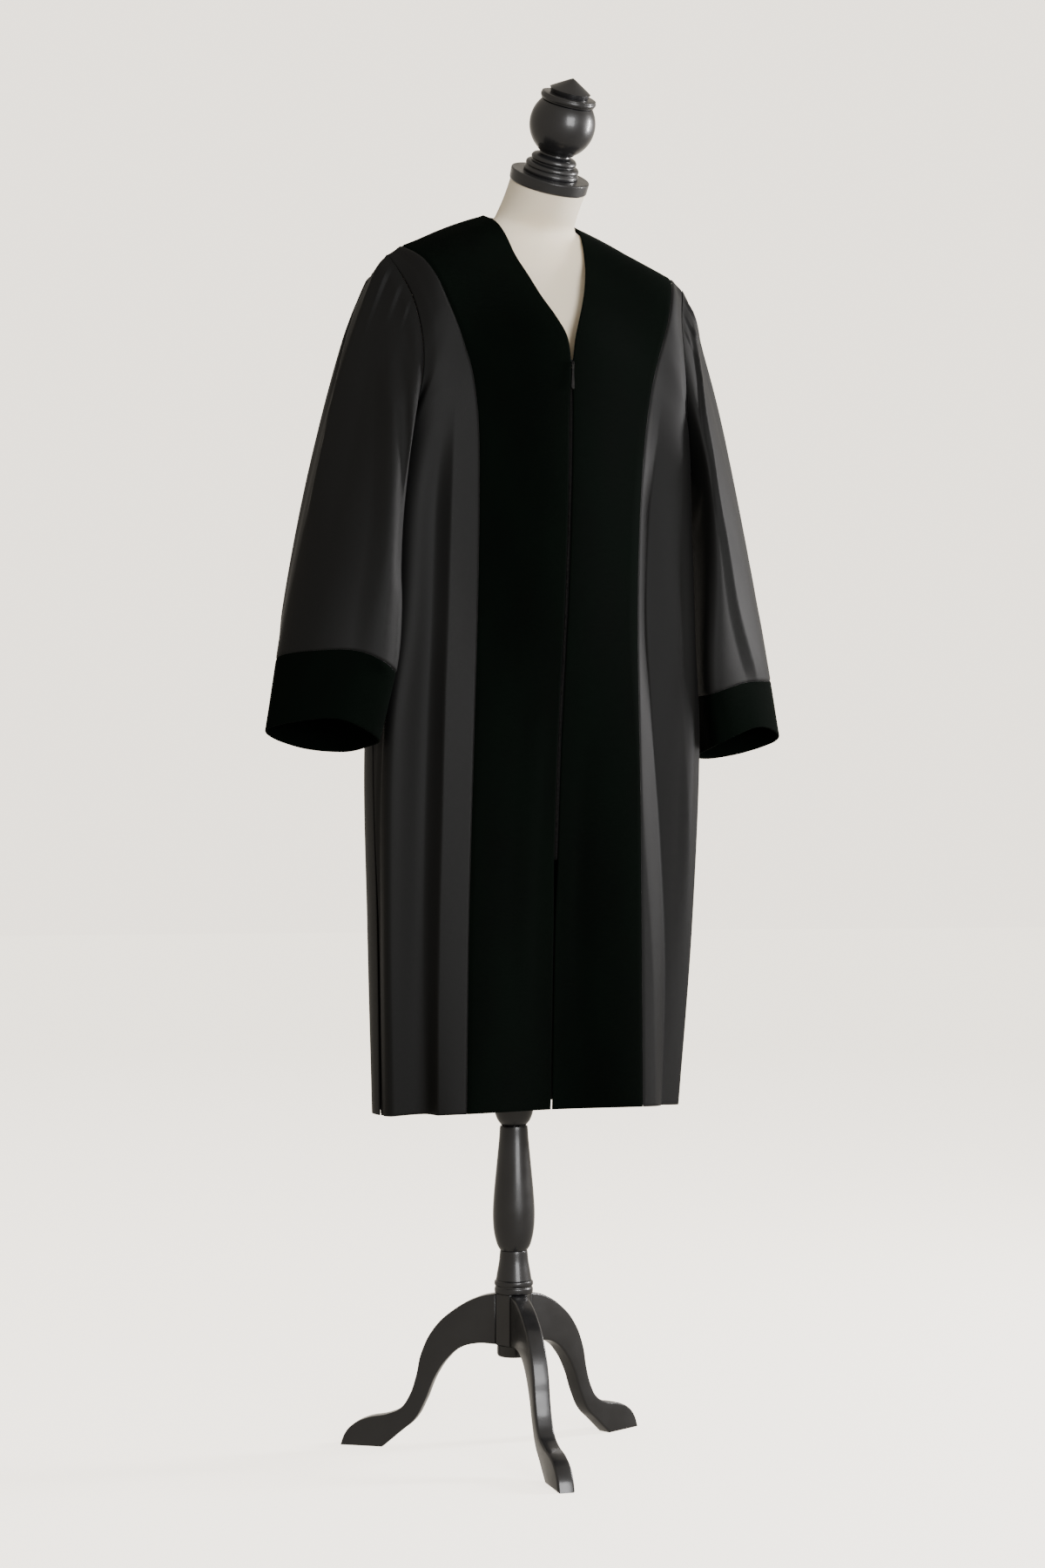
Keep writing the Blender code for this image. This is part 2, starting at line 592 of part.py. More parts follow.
def add_panel(name, face, places, wall, material, amounts):
    """One cut piece of the body: places(t) lists the s of its columns at a level."""
    outer, inner = [], []
    for t in levels_down():
        outer_row, inner_row = [], []
        for s in places(t):
            level = t
            if face == "back":
                neckline = back_neckline(s)
                level = neckline + t * (1 - neckline)
            point = cloth_point(face, s, level)
            outer_row.append(point)
            inner_row.append(point - wall_direction(face, s, level) * wall)
        outer.append(outer_row)
        inner.append(inner_row)
    outer, inner = trimmed(outer, amounts), trimmed(inner, amounts)
    add_object(name, shell_mesh(name, outer, inner, closed=False), material, stand_axis)


# ------------------------------------------------------------------------------ the robe's pieces

def velvet_edges(t):
    """The s of the V's edge or front opening, and of the velvet's outer seam."""
    return s_at("front", along(OPENING, t)[0], t), s_at("front", along(VELVET_SEAM, t)[0], t)


def back_neckline(s):
    """The level of the back's upper edge: 0 on the shoulders, lowest at the middle."""
    neck = s_at("back", NECK_X, 0.0)
    return BACK_NECK_T * max(1 - (s / neck) ** 2, 0.0)


def add_fronts():
    seam = GAP / 2
    for side, sign in (("right", -1), ("left", 1)):

        def velvet_places(t):
            inner, outer = velvet_edges(t)
            return sorted(sign * s for s in spread(inner, outer, VELVET_COLUMNS))

        def wool_places(t):
            return sorted(sign * s for s in spread(velvet_edges(t)[1], 1.0, WOOL_COLUMNS))

        velvet_amounts = (GAP, 0, 0, seam) if sign > 0 else (GAP, 0, seam, 0)
        add_panel(f"velvet_front_{side}", "front", velvet_places, VELVET_WALL, velvet,
                  velvet_amounts)
        add_panel(f"side_front_{side}", "front", wool_places, WOOL_WALL, wool,
                  (GAP, 0, seam, seam))


def add_back():
    neck = s_at("back", NECK_X, 0.0)
    shoulder = spread(neck, 1.0, BACK_COLUMNS)
    middle = spread(-neck, neck, BACK_NECK_COLUMNS)
    columns = shoulder[::-1] + middle[::-1][1:] + [-s for s in shoulder[1:]]
    seam = GAP / 2
    add_panel("back", "back", lambda t: columns, WOOL_WALL, wool, (GAP, 0, seam, seam))


def armhole_point(turn):
    """The armhole, from the shoulder tip over the front to the underarm and up the back."""
    underarm = SIDE_SEAM[0].t
    if turn <= 0.5:
        return side_edge("front", underarm * turn * 2)
    return side_edge("back", underarm * (1 - turn) * 2)


def arm_point(sign, turn, reach):
    """A point of a sleeve without its pleats, on the left half: reach is 0 at the armhole, 1 at
    the cuff's seam and 2 at the cuff's edge."""
    turn %= 1.0
    top, bottom = (Vector((x, y, z_right if sign < 0 else z_left))
                   for x, y, z_right, z_left in (around(CUFF_TOP, turn), around(CUFF_BOTTOM, turn)))
    if reach >= 1.0:
        return top.lerp(bottom, reach - 1.0)
    start = armhole_point(turn) + Vector((SLEEVE_SET_OUT, 0, 0))
    lead = Vector(around(SLEEVE_LEAD, turn))
    tail = (top - bottom).normalized() * SLEEVE_TAIL
    near, far = start + lead, top + tail
    f, g = reach, 1.0 - reach
    return start * g ** 3 + near * 3 * g * g * f + far * 3 * g * f * f + top * f ** 3


def arm_normal(sign, turn, reach):
    """Outward direction of a sleeve, turned into the armhole's plane near its seam."""
    step = 0.01
    around_arm = arm_point(sign, turn + step, reach) - arm_point(sign, turn - step, reach)
    low, high = max(reach - step, 0.0), min(reach + step, 2.0)
    down = arm_point(sign, turn, high) - arm_point(sign, turn, low)
    normal = around_arm.cross(down).normalized()
    centre = (armhole_point(0.0) + armhole_point(0.5)) / 2
    radial = armhole_point(turn) - centre
    radial.x = 0.0
    return radial.normalized().lerp(normal, smooth(reach / SLEEVE_ROOT)).normalized()


def pleat_height(turn, reach):
    """The knife pleats of the sleeve head: a slow rise to the folded edge and a quick drop."""
    height = 0.0
    for pleat in PLEATS:
        offset = (turn - pleat.place + 0.5) % 1.0 - 0.5
        if -pleat.width < offset <= 0:
            profile = 1 + offset / pleat.width
        elif 0 < offset < pleat.width * PLEAT_DROP:
            profile = 1 - offset / (pleat.width * PLEAT_DROP)
        else:
            continue
        height += pleat.depth * profile * (1 - smooth(reach / pleat.reach))
    return height * smooth(reach / SLEEVE_ROOT)


def sleeve_turns():
    """The turns of the sleeve's columns: the panels' levels at the armhole, and every pleat."""
    shares = [level / SIDE_SEAM[0].t / 2 for level in ARMHOLE_LEVELS]
    turns = {round(share, 4) for share in shares} | {round(1 - share, 4) for share in shares[1:]}
    turns.add(0.5)
    for pleat in PLEATS:
        turns.add(round(pleat.place % 1.0, 4))
        turns.add(round((pleat.place + pleat.width * PLEAT_DROP) % 1.0, 4))
    return sorted(turns)


def add_sleeve(name, sign, reaches, wall, material, amounts):
    """The sleeve or the cuff of one side, as a tube with open ends."""
    outer, inner = [], []
    for reach in reaches:
        outer_row, inner_row = [], []
        for turn in sleeve_turns():
            normal = arm_normal(sign, turn, reach)
            point = arm_point(sign, turn, reach) + normal * pleat_height(turn, reach)
            hidden = point - normal * wall
            for row, spot in ((outer_row, point), (inner_row, hidden)):
                row.append(Vector((sign * spot.x, spot.y, spot.z)))
        outer.append(outer_row if sign < 0 else outer_row[::-1])
        inner.append(inner_row if sign < 0 else inner_row[::-1])
    outer = trimmed(outer, (*amounts, 0, 0), closed=True)
    inner = trimmed(inner, (*amounts, 0, 0), closed=True)
    add_object(name, shell_mesh(name, outer, inner, closed=True), material, stand_axis)


def add_sleeves():
    sleeve_reaches = [(i / SLEEVE_ROWS) ** 1.3 for i in range(SLEEVE_ROWS + 1)]
    cuff_reaches = spread(1.0, 2.0, CUFF_ROWS)
    for side, sign in (("right", -1), ("left", 1)):
        add_sleeve(f"sleeve_{side}", sign, sleeve_reaches, WOOL_WALL, wool, (0, GAP / 2))
        add_sleeve(f"cuff_{side}", sign, cuff_reaches, CUFF_WALL, velvet, (GAP / 2, 0))


def add_zip_tapes():
    """Two flat tapes behind the velvet's edges, from just under the slider to the zip's end."""
    levels = levels_down()[len(ARMHOLE_LEVELS) - 2:len(ARMHOLE_LEVELS) + ZIP_END_ROW + 1]
    for side, sign in (("right", -1), ("left", 1)):
        outer, inner = [], []
        for t in levels:
            rows = [[], []]
            for x in (GAP / 2, TAPE_WIDTH / 2, TAPE_WIDTH):
                s = sign * s_at("front", x, t)
                direction = wall_direction("front", s, t)
                front = cloth_point("front", s, t) - direction * (VELVET_WALL + GAP)
                rows[0].append(front)
                rows[1].append(front - direction * TAPE_THICKNESS)
            outer.append(rows[0] if sign > 0 else rows[0][::-1])
            inner.append(rows[1] if sign > 0 else rows[1][::-1])
        outer, inner = (trimmed(grid, (TAPE_START, 0, 0, 0)) for grid in (outer, inner))
        name = f"zip_tape_{side}"
        add_object(name, shell_mesh(name, outer, inner, closed=False), tape, stand_axis)


# ------------------------------------------------------------------------------ zip's hard pieces

def flat_outline(name, loops, thickness, material, parent):
    """A flat piece cut from sheet: its first loop is the outline and the others are holes."""
    curve = bpy.data.curves.new(name, "CURVE")
    curve.dimensions = "2D"
    curve.fill_mode = "BOTH"
    curve.extrude = thickness / 2
    for loop in loops:
        spline = curve.splines.new("POLY")
        spline.points.add(len(loop) - 1)
        for point, (x, y) in zip(spline.points, loop):
            point.co = (x, y, 0.0, 1.0)
        spline.use_cyclic_u = True
    return add_object(name, curve, material, parent)


def circle(radius, steps):
    return [(radius * math.cos(2 * math.pi * i / steps), radius * math.sin(2 * math.pi * i / steps))
            for i in range(steps)]


def add_slider_and_pull():
    """The slider's body lies behind the velvet; its ring stands through the opening and carries
    the pull tab by the bar above the tab's eye."""
    face = cloth_point("front", 0.0, HINGE_T)
    hinge = make_empty("zip_hinge", stand_axis, (0.0, face.y - HINGE_AHEAD, face.z))
    ring = flat_outline("zip_slider", [circle(RING_OUTER, 20), circle(RING_INNER, 20)],
                        RING_WIDTH, metal, hinge)
    ring.rotation_euler = (0, math.radians(90), 0)
    ring = as_mesh(ring)
    width, depth, height = SLIDER_BODY
    back = HINGE_AHEAD + VELVET_WALL + SLIDER_SET_BACK + depth
    body = bpy.data.meshes.new("slider_body")
    add_box(body, (-width / 2, back - depth, -height / 2), (width / 2, back, height / 2))
    body_object = add_object("slider_body", body, metal, hinge)
    post = bpy.data.meshes.new("slider_post")
    add_box(post, (-RING_WIDTH / 2, (RING_INNER + RING_OUTER) / 2, -RING_INNER),
            (RING_WIDTH / 2, back - depth / 2, RING_INNER))
    post_object = add_object("slider_post", post, metal, hinge)
    for other in (post_object, body_object):
        unite(ring, other)

    eye_width, eye_height = PULL_EYE
    outline = [(x, y) for x, y in PULL_OUTLINE] + [(-x, y) for x, y in reversed(PULL_OUTLINE)]
    eye_top = PULL_OUTLINE[0][1] - PULL_BAR
    eye = [(-eye_width / 2, eye_top), (eye_width / 2, eye_top),
           (eye_width / 2, eye_top - eye_height), (-eye_width / 2, eye_top - eye_height)]
    pull = flat_outline("zip_pull", [outline, eye], PULL_THICKNESS, metal, hinge)
    pull.rotation_euler = (math.radians(90), 0, 0)


def add_box(mesh, low, high):
    """Fill a mesh with a box between two corners."""
    (x0, y0, z0), (x1, y1, z1) = low, high
    builder = bmesh.new()
    bmesh.ops.create_cube(builder, size=1.0)
    for vertex in builder.verts:
        vertex.co.x = x1 if vertex.co.x > 0 else x0
        vertex.co.y = y1 if vertex.co.y > 0 else y0
        vertex.co.z = z1 if vertex.co.z > 0 else z0
    builder.to_mesh(mesh)
    builder.free()


def as_mesh(piece):
    """Replace a curve object by its evaluated mesh, with its caps welded."""
    bpy.context.view_layer.update()
    evaluated = piece.evaluated_get(bpy.context.evaluated_depsgraph_get())
    mesh = bpy.data.meshes.new_from_object(evaluated)
    builder = bmesh.new()
    builder.from_mesh(mesh)
    bmesh.ops.remove_doubles(builder, verts=builder.verts, dist=1e-6)
    builder.to_mesh(mesh)
    builder.free()
    name, parent, rotation = piece.name, piece.parent, piece.rotation_euler.copy()
    bpy.data.objects.remove(piece)
    solid = bpy.data.objects.new(name, mesh)
    parts.objects.link(solid)
    solid.parent = parent
    solid.rotation_euler = rotation
    return solid


def unite(piece, other):
    """Join another solid to a piece; the other one becomes a guide."""
    modifier = piece.modifiers.new(f"join {other.name}", "BOOLEAN")
    modifier.operation = "UNION"
    modifier.object = other
    parts.objects.unlink(other)
    cutters.objects.link(other)
    other.hide_render = True
    other.display_type = "WIRE"


# ----------------------------------------------------------------------------- form and stand

def turned(name, profile, material, parent):
    """A solid of revolution about its parent's Z axis; the profile runs from top to bottom."""
    mesh = bpy.data.meshes.new(name)
    mesh.from_pydata([(radius, 0.0, height) for radius, height in profile],
                     [(i, i + 1) for i in range(len(profile) - 1)], [])
    piece = add_object(name, mesh, material, parent)
    screw = piece.modifiers.new("turn", "SCREW")
    screw.axis = "Z"
    screw.steps = screw.render_steps = TURN_STEPS
    screw.use_merge_vertices = True
    screw.merge_threshold = 1e-6
    screw.use_smooth_shade = True
    return piece


def ball_profile():
    """The finial's ball, cut flat where it meets the collar and the bead."""
    top = BEAD[-1][1] - GAP - BALL_HEIGHT
    bottom = CAP_COLLAR[0][1] + GAP - BALL_HEIGHT
    angles = spread(math.asin(top / BALL_RADIUS), math.asin(bottom / BALL_RADIUS), 14)
    arc = [(BALL_RADIUS * math.cos(angle), BALL_HEIGHT + BALL_RADIUS * math.sin(angle))
           for angle in angles]
    return [(0.0, arc[0][1]), *arc, (0.0, arc[-1][1])]


def torso_ring(section):
    """Points round one section of the dress form, from its left side over its back."""
    tilt = Matrix.Rotation(math.radians(section.lean), 3, "X")
    power = 2 / section.square
    points = []
    for i in range(TORSO_COLUMNS):
        angle = 2 * math.pi * i / TORSO_COLUMNS
        cosine, sine = math.cos(angle), math.sin(angle)
        x = math.copysign(section.half_width * abs(cosine) ** power, cosine)
        depth = section.back if sine > 0 else section.front
        y = math.copysign(depth * abs(sine) ** power, sine)
        points.append(tilt @ Vector((x, y, 0)) + Vector((0, section.y, section.z)))
    return points


def add_form():
    """The torso and its neck, as one smooth closed loft with flat ends."""
    heights = [row.z for row in TORSO]
    middles = [(a + b) / 2 for a, b in zip(heights, heights[1:])]
    rings = [torso_ring(Torso(z, *along(TORSO, z))) for z in sorted(heights + middles)]
    faces = [list(range(TORSO_COLUMNS))[::-1]]
    for k in range(len(rings) - 1):
        for i in range(TORSO_COLUMNS):
            j = (i + 1) % TORSO_COLUMNS
            low, high = k * TORSO_COLUMNS, (k + 1) * TORSO_COLUMNS
            faces.append([low + i, low + j, high + j, high + i])
    faces.append([(len(rings) - 1) * TORSO_COLUMNS + i for i in range(TORSO_COLUMNS)])
    mesh = bpy.data.meshes.new("dress_form")
    mesh.from_pydata([point for ring in rings for point in ring], [], faces)
    mesh.shade_smooth()
    mesh.set_sharp_from_angle(angle=math.radians(50))
    add_object("dress_form", mesh, form_cloth, stand_axis)


def add_finial():
    """The cap of the neck and its turned finial, on the neck's leaning axis."""
    axis = make_empty("neck_axis", stand_axis, NECK_TOP + Vector((0, 0, GAP)), (NECK_TILT, 0, 0))
    turned("neck_cap", NECK_CAP, wood, axis)
    turned("cap_collar", CAP_COLLAR, wood, axis)
    turned("finial_ball", ball_profile(), wood, axis)
    turned("finial_bead", BEAD, wood, axis)
    turned("finial_cone", CONE, wood, axis)


def add_column():
    turned("form_base", FORM_BASE, wood, stand_axis)
    turned("pole", [(0.0, FORM_BASE[-1][1] - GAP), (POLE_RADIUS, FORM_BASE[-1][1] - GAP),
                    (POLE_RADIUS, KNOB[0][1] + GAP), (0.0, KNOB[0][1] + GAP)], metal, stand_axis)
    turned("column_knob", KNOB, wood, stand_axis)
    turned("column_vase", VASE, wood, stand_axis)
    turned("column_spread", SPREAD, wood, stand_axis)
    turned("column_ring", SHOULDER_RING, wood, stand_axis)
    turned("hub_plug", PLUG, wood, stand_axis)


def add_tripod():
    """The six-sided hub, and three leg boards sawn to one outline with their edges rounded."""
    apothem = HUB_RADIUS * math.cos(math.pi / 6)
    height = HUB_TOP - HUB_BOTTOM
    mesh = bpy.data.meshes.new("hub")
    builder = bmesh.new()
    bmesh.ops.create_cone(builder, segments=6, radius1=HUB_RADIUS, radius2=HUB_RADIUS,
                          depth=height, cap_ends=True)
    builder.to_mesh(mesh)
    builder.free()
    hub = add_object("hub", mesh, wood, stand_axis)
    hub.location.z = HUB_BOTTOM + height / 2
    hub.rotation_euler.z = FRONT_LEG_AZIMUTH
    root = apothem + GAP
    smooth_run = LEG_OUTLINE + [(LEG_TOE, 0.0)]
    under_run = [(LEG_HEEL, 0.0)] + LEG_UNDERSIDE
    for k, name in enumerate(("leg_front", "leg_left", "leg_right")):
        curve = bpy.data.curves.new(name, "CURVE")
        curve.dimensions = "2D"
        curve.fill_mode = "BOTH"
        curve.extrude = LEG_THICKNESS / 2 - LEG_ROUNDING
        curve.bevel_depth = LEG_ROUNDING
        curve.bevel_resolution = 0
        curve.offset = -LEG_ROUNDING
        curve.resolution_u = 3
        spline = curve.splines.new("BEZIER")
        outline = [(root, HUB_TOP), *smooth_run, *under_run, (root, HUB_BOTTOM)]
        corners = {(root, HUB_TOP), (LEG_TOE, 0.0), (LEG_HEEL, 0.0), (root, HUB_BOTTOM)}
        spline.bezier_points.add(len(outline) - 1)
        for point, (x, y) in zip(spline.bezier_points, outline):
            point.co = (x, y, 0.0)
            kind = "VECTOR" if (x, y) in corners else "AUTO"
            point.handle_left_type = point.handle_right_type = kind
        spline.use_cyclic_u = True
        leg = add_object(name, curve, wood, stand_axis)
        leg.rotation_euler = (math.pi / 2, 0, FRONT_LEG_AZIMUTH + k * 2 * math.pi / 3)


# ----------------------------------------------------------------------------------- the build

clear_scene()
parts = bpy.data.collections.new("judicial_robe_on_dress_form")
cutters = bpy.data.collections.new("joined_shapes")
for collection in (parts, cutters):
    bpy.context.scene.collection.children.link(collection)

wool = make_material("charcoal wool", (0.020, 0.021, 0.021), 0.85)
velvet = make_material("black velvet", (0.003, 0.004, 0.004), 0.95)
tape = make_material("zip tape", (0.010, 0.010, 0.011), 0.80)
metal = make_material("dark metal", (0.180, 0.180, 0.185), 0.35, 1.0)
form_cloth = make_material("ivory jersey", (0.820, 0.770, 0.680), 0.75)
wood = make_material("black lacquered wood", (0.012, 0.012, 0.013), 0.22)

stand_axis = make_empty("stand_axis", location=(0, POLE_Y, 0))
add_fronts()
add_back()
add_sleeves()
add_zip_tapes()
add_slider_and_pull()
add_form()
add_finial()
add_column()
add_tripod()
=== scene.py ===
"""A judicial robe on a limbless dress form: its finishes, fine cloth, thread and light.

Metres, +Z up.  The robe's front faces -Y and the wearer's left is +X.  The cloth is worked out
from the pole's own axis, which the frame's pole gives, and every piece keeps its place in its mesh.
"""
import math
from functools import lru_cache, partial

import bmesh
import bpy
import numpy as np
from mathutils import Matrix, Vector


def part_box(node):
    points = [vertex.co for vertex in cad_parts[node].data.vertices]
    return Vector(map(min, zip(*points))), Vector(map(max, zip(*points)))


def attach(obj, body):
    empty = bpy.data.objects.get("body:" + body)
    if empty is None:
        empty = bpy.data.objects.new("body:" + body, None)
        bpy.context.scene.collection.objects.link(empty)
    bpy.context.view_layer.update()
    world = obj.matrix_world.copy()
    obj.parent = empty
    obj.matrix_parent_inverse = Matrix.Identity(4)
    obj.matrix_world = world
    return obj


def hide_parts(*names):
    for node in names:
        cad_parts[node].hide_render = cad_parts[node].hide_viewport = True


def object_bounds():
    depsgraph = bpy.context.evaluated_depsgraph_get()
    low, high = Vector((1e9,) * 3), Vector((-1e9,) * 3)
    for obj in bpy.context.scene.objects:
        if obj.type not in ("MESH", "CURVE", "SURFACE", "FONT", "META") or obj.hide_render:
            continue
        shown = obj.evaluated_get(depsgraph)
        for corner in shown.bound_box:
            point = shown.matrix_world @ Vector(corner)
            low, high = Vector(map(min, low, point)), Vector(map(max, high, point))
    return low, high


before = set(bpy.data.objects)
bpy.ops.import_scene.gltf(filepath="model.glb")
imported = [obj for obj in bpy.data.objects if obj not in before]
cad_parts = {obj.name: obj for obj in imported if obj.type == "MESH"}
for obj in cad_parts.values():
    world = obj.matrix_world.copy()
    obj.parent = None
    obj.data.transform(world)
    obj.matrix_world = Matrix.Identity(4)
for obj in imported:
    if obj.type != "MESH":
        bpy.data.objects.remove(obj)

cad_low, cad_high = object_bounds()

# ------------ turned column, base and plug
# The stand is beech turned on a lathe in short lengths that are dowelled together: a knob, a
# vase, a spread and a grooved ring, with a plug under the hub.  All of it is sprayed gloss black.

pole_low, pole_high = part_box("pole")
POLE_AXIS = Vector(((pole_low[0] + pole_high[0]) / 2, (pole_low[1] + pole_high[1]) / 2, 0.0))
LATHE_STEPS = 96
LATHE_GAP = 0.0003          # turned lengths stop this far from each other
LATHE_EDGE = 0.0005         # how far a turned edge is eased
EDGE_ANGLE = 48             # degrees: a sharper turn in an outline stays an edge
PROFILE_STEPS = 6           # along each smooth step of an outline
LATHE_SHARP = 60            # degrees: shading breaks where a turned face turns by more

# Outlines from the top down: distance from the axis and height.
KNOB = [
    (0, 0.501), (0.016, 0.5005), (0.0235, 0.494), (0.027, 0.483), (0.0275, 0.472), (0.0262, 0.462),
    (0.0225, 0.452), (0.0165, 0.444), (0, 0.444),
]
VASE = [
    (0, 0.4436), (0.018, 0.4436), (0.0192, 0.442), (0.0204, 0.425), (0.0238, 0.39), (0.0272, 0.354),
    (0.0288, 0.326), (0.0276, 0.302), (0.0232, 0.283), (0.0185, 0.2745), (0, 0.2745),
]
SPREAD = [
    (0, 0.2741), (0.0182, 0.2741), (0.019, 0.2725), (0.0202, 0.26), (0.0228, 0.245),
    (0.0246, 0.2345), (0, 0.2345),
]
SHOULDER_RING = [
    (0, 0.2341), (0.025, 0.2341), (0.0264, 0.2325), (0.0266, 0.2285), (0.0254, 0.2265),
    (0.0254, 0.225), (0.0264, 0.223), (0.0262, 0.218), (0.0248, 0.2163), (0, 0.2163),
]
PLUG = [
    (0, 0.1465), (0.0228, 0.1465), (0.0228, 0.135), (0.0215, 0.1318), (0.018, 0.131), (0, 0.131),
]
FORM_BASE = [
    (0, 0.8597), (0.04, 0.8597), (0.0415, 0.858), (0.0415, 0.848), (0.04, 0.846), (0, 0.846),
]


def feed(tree, node, given):
    """Fill a node's inputs: a socket is linked to its input, and all else is the input's value."""
    for key, value in given.items():
        if isinstance(value, bpy.types.NodeSocket):
            tree.links.new(value, node.inputs[key])
        else:
            node.inputs[key].default_value = value


def add(tree, kind, output, given={}, **settings):
    """The named output of a new node that has these inputs and settings."""
    node = tree.nodes.new(kind)
    for name, value in settings.items():
        setattr(node, name, value)
    feed(tree, node, given)
    return node.outputs[output]


def noise(coordinate, scale, detail=3.0, roughness=0.5, stretch=(1.0, 1.0, 1.0)):
    """A noise texture's factor on a coordinate, stretched along its axes."""
    tree = coordinate.id_data
    place = add(tree, "ShaderNodeMapping", "Vector", {"Vector": coordinate, "Scale": stretch})
    return add(tree, "ShaderNodeTexNoise", "Fac", {"Vector": place, "Scale": scale,
                                                   "Detail": detail, "Roughness": roughness})


def ranged(factor, low=0.0, high=1.0, from_low=0.3, from_high=0.7):
    """A factor's middle range, stretched to lie from low to high."""
    return add(factor.id_data, "ShaderNodeMapRange", "Result",
               {"Value": factor, "From Min": from_low, "From Max": from_high,
                "To Min": low, "To Max": high})


def new_finish(name, kind="ShaderNodeTexCoord", coordinate="Object"):
    """A fresh material and the coordinate that its patterns lie on."""
    material = bpy.data.materials.new(name)
    material.use_nodes = True
    return material, add(material.node_tree, kind, coordinate)


def paint(material, tone, dark, light, roughness, bumps, more):
    """A finish: its colour by a tone, its roughness, bumps one over another, and the rest."""
    tree = material.node_tree
    colour = add(tree, "ShaderNodeMix", "Result",
                 {"Factor": tone, "A": (*dark, 1.0), "B": (*light, 1.0)}, data_type="RGBA")
    under = {}
    for height, distance, strength in bumps:
        under = {"Normal": add(tree, "ShaderNodeBump", "Normal", {
            "Height": height, "Distance": distance, "Strength": strength, **under})}
    feed(tree, tree.nodes["Principled BSDF"],
         {"Base Color": colour, "Roughness": roughness, **under, **more})


def make_lacquer(name, stretch):
    """Gloss black over wood: a faint grain and sprayed orange peel under a clear top coat."""
    material, place = new_finish(name)
    paint(material, ranged(noise(place, 14.0, 4.0)),
          (0.0080, 0.0080, 0.0088), (0.0145, 0.0145, 0.0160),
          ranged(noise(place, 38.0, 5.0), 0.30, 0.42),
          [(noise(place, 260.0, 2.0), 0.00002, 0.3),
           (noise(place, 90.0, 5.0, 0.6, stretch), 0.0001, 0.20)],
          {"Specular IOR Level": 0.50, "Coat Weight": 0.35, "Coat Roughness": 0.14})
    return material


lacquer = make_lacquer("gloss black lacquer on turned wood", (1.0, 1.0, 0.10))


def bend(start, end, leave, arrive, count):
    """Points after the start of a smooth curve that leaves and arrives along two vectors."""
    points = []
    for i in range(1, count + 1):
        f = i / count
        g = 1 - f
        points.append(start * ((1 + 2 * f) * g * g) + end * (f * f * (1 + 2 * g))
                      + leave * (f * g * g) - arrive * (f * f * g))
    return points


def rounded_profile(points):
    """An outline's points with smooth runs between its sharp corners."""
    points = [Vector(point) for point in points]
    turns = [math.degrees((b - a).angle(c - b)) for a, b, c in zip(points, points[1:], points[2:])]
    sharp = [0, *(i for i, turn in enumerate(turns, 1) if turn > EDGE_ANGLE), len(points) - 1]
    result = points[:1]
    for start, end in zip(sharp, sharp[1:]):
        run = points[start:end + 1]
        for k, (a, b) in enumerate(zip(run, run[1:])):
            leave = (b - run[k - 1]) / 2 if k > 0 else b - a
            arrive = (run[k + 2] - a) / 2 if k + 2 < len(run) else b - a
            result += bend(a, b, leave, arrive, PROFILE_STEPS if len(run) > 2 else 1)
    return result


def finished(piece, node=None):
    """A piece stands for its node and rides on the stand."""
    if node:
        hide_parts(node)
    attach(piece, "robe_on_stand")
    return piece


def link_mesh(name, mesh, material=None, sharp=None):
    """A piece in the scene, smooth but for edges that turn by more than an angle in degrees."""
    if material:
        mesh.materials.append(material)
    if sharp:
        mesh.shade_smooth()
        mesh.set_sharp_from_angle(angle=math.radians(sharp))
    mesh.name = name
    piece = bpy.data.objects.new(name, mesh)
    bpy.context.scene.collection.objects.link(piece)
    return piece


def link_built(name, builder, material, sharp=None):
    mesh = bpy.data.meshes.new(name)
    builder.to_mesh(mesh)
    builder.free()
    return link_mesh(name, mesh, material, sharp)


def ease_edges(piece, width, segments=2, angle=EDGE_ANGLE):
    """Round the edges of a piece that turn by more than an angle in degrees."""
    bevel = piece.modifiers.new("eased edges", "BEVEL")
    bevel.width = width
    bevel.segments = segments
    bevel.limit_method = "ANGLE"
    bevel.angle_limit = math.radians(angle)


def skin(name, rings, material, sharp):
    """A closed piece through rings of points, from the top down; a ring may be a single point."""
    builder = bmesh.new()
    rings = [[builder.verts.new(point) for point in ring] for ring in rings]
    count = max(len(ring) for ring in rings)
    for upper, lower in zip(rings, rings[1:]):
        for i in range(count):
            j = (i + 1) % count
            corners = dict.fromkeys((upper[i % len(upper)], lower[i % len(lower)],
                                     lower[j % len(lower)], upper[j % len(upper)]))
            if len(corners) > 2:
                builder.faces.new(list(corners))
    for end in (rings[0], rings[-1][::-1]):
        if len(end) > 2:
            builder.faces.new(end)
    return link_built(name, builder, material, sharp)


def turn_on_lathe(name, profile, material, place, edge=LATHE_EDGE):
    """A turned piece about an axis; place is the matrix from the axis to the frame."""
    rings = []
    for radius, height in rounded_profile(profile):
        count = LATHE_STEPS if radius > 1e-6 else 1
        angles = [2 * math.pi * i / count for i in range(count)]
        rings.append([place @ Vector((radius * math.cos(angle), radius * math.sin(angle), height))
                      for angle in angles])
    piece = skin(name, rings, material, LATHE_SHARP)
    ease_edges(piece, edge)
    return piece


on_pole = Matrix.Translation(POLE_AXIS)
for node, profile in (("column_knob", KNOB), ("column_vase", VASE), ("column_spread", SPREAD),
                      ("column_ring", SHOULDER_RING), ("hub_plug", PLUG), ("form_base", FORM_BASE)):
    finished(turn_on_lathe(f"{node}_turned", profile, lacquer, on_pole), node)

# ------------ the steel pole
# A tube of blackened steel that slides in the column and carries the form's base.  It is drawn
# tube, rubbed a little bright where the clamp has gripped it.

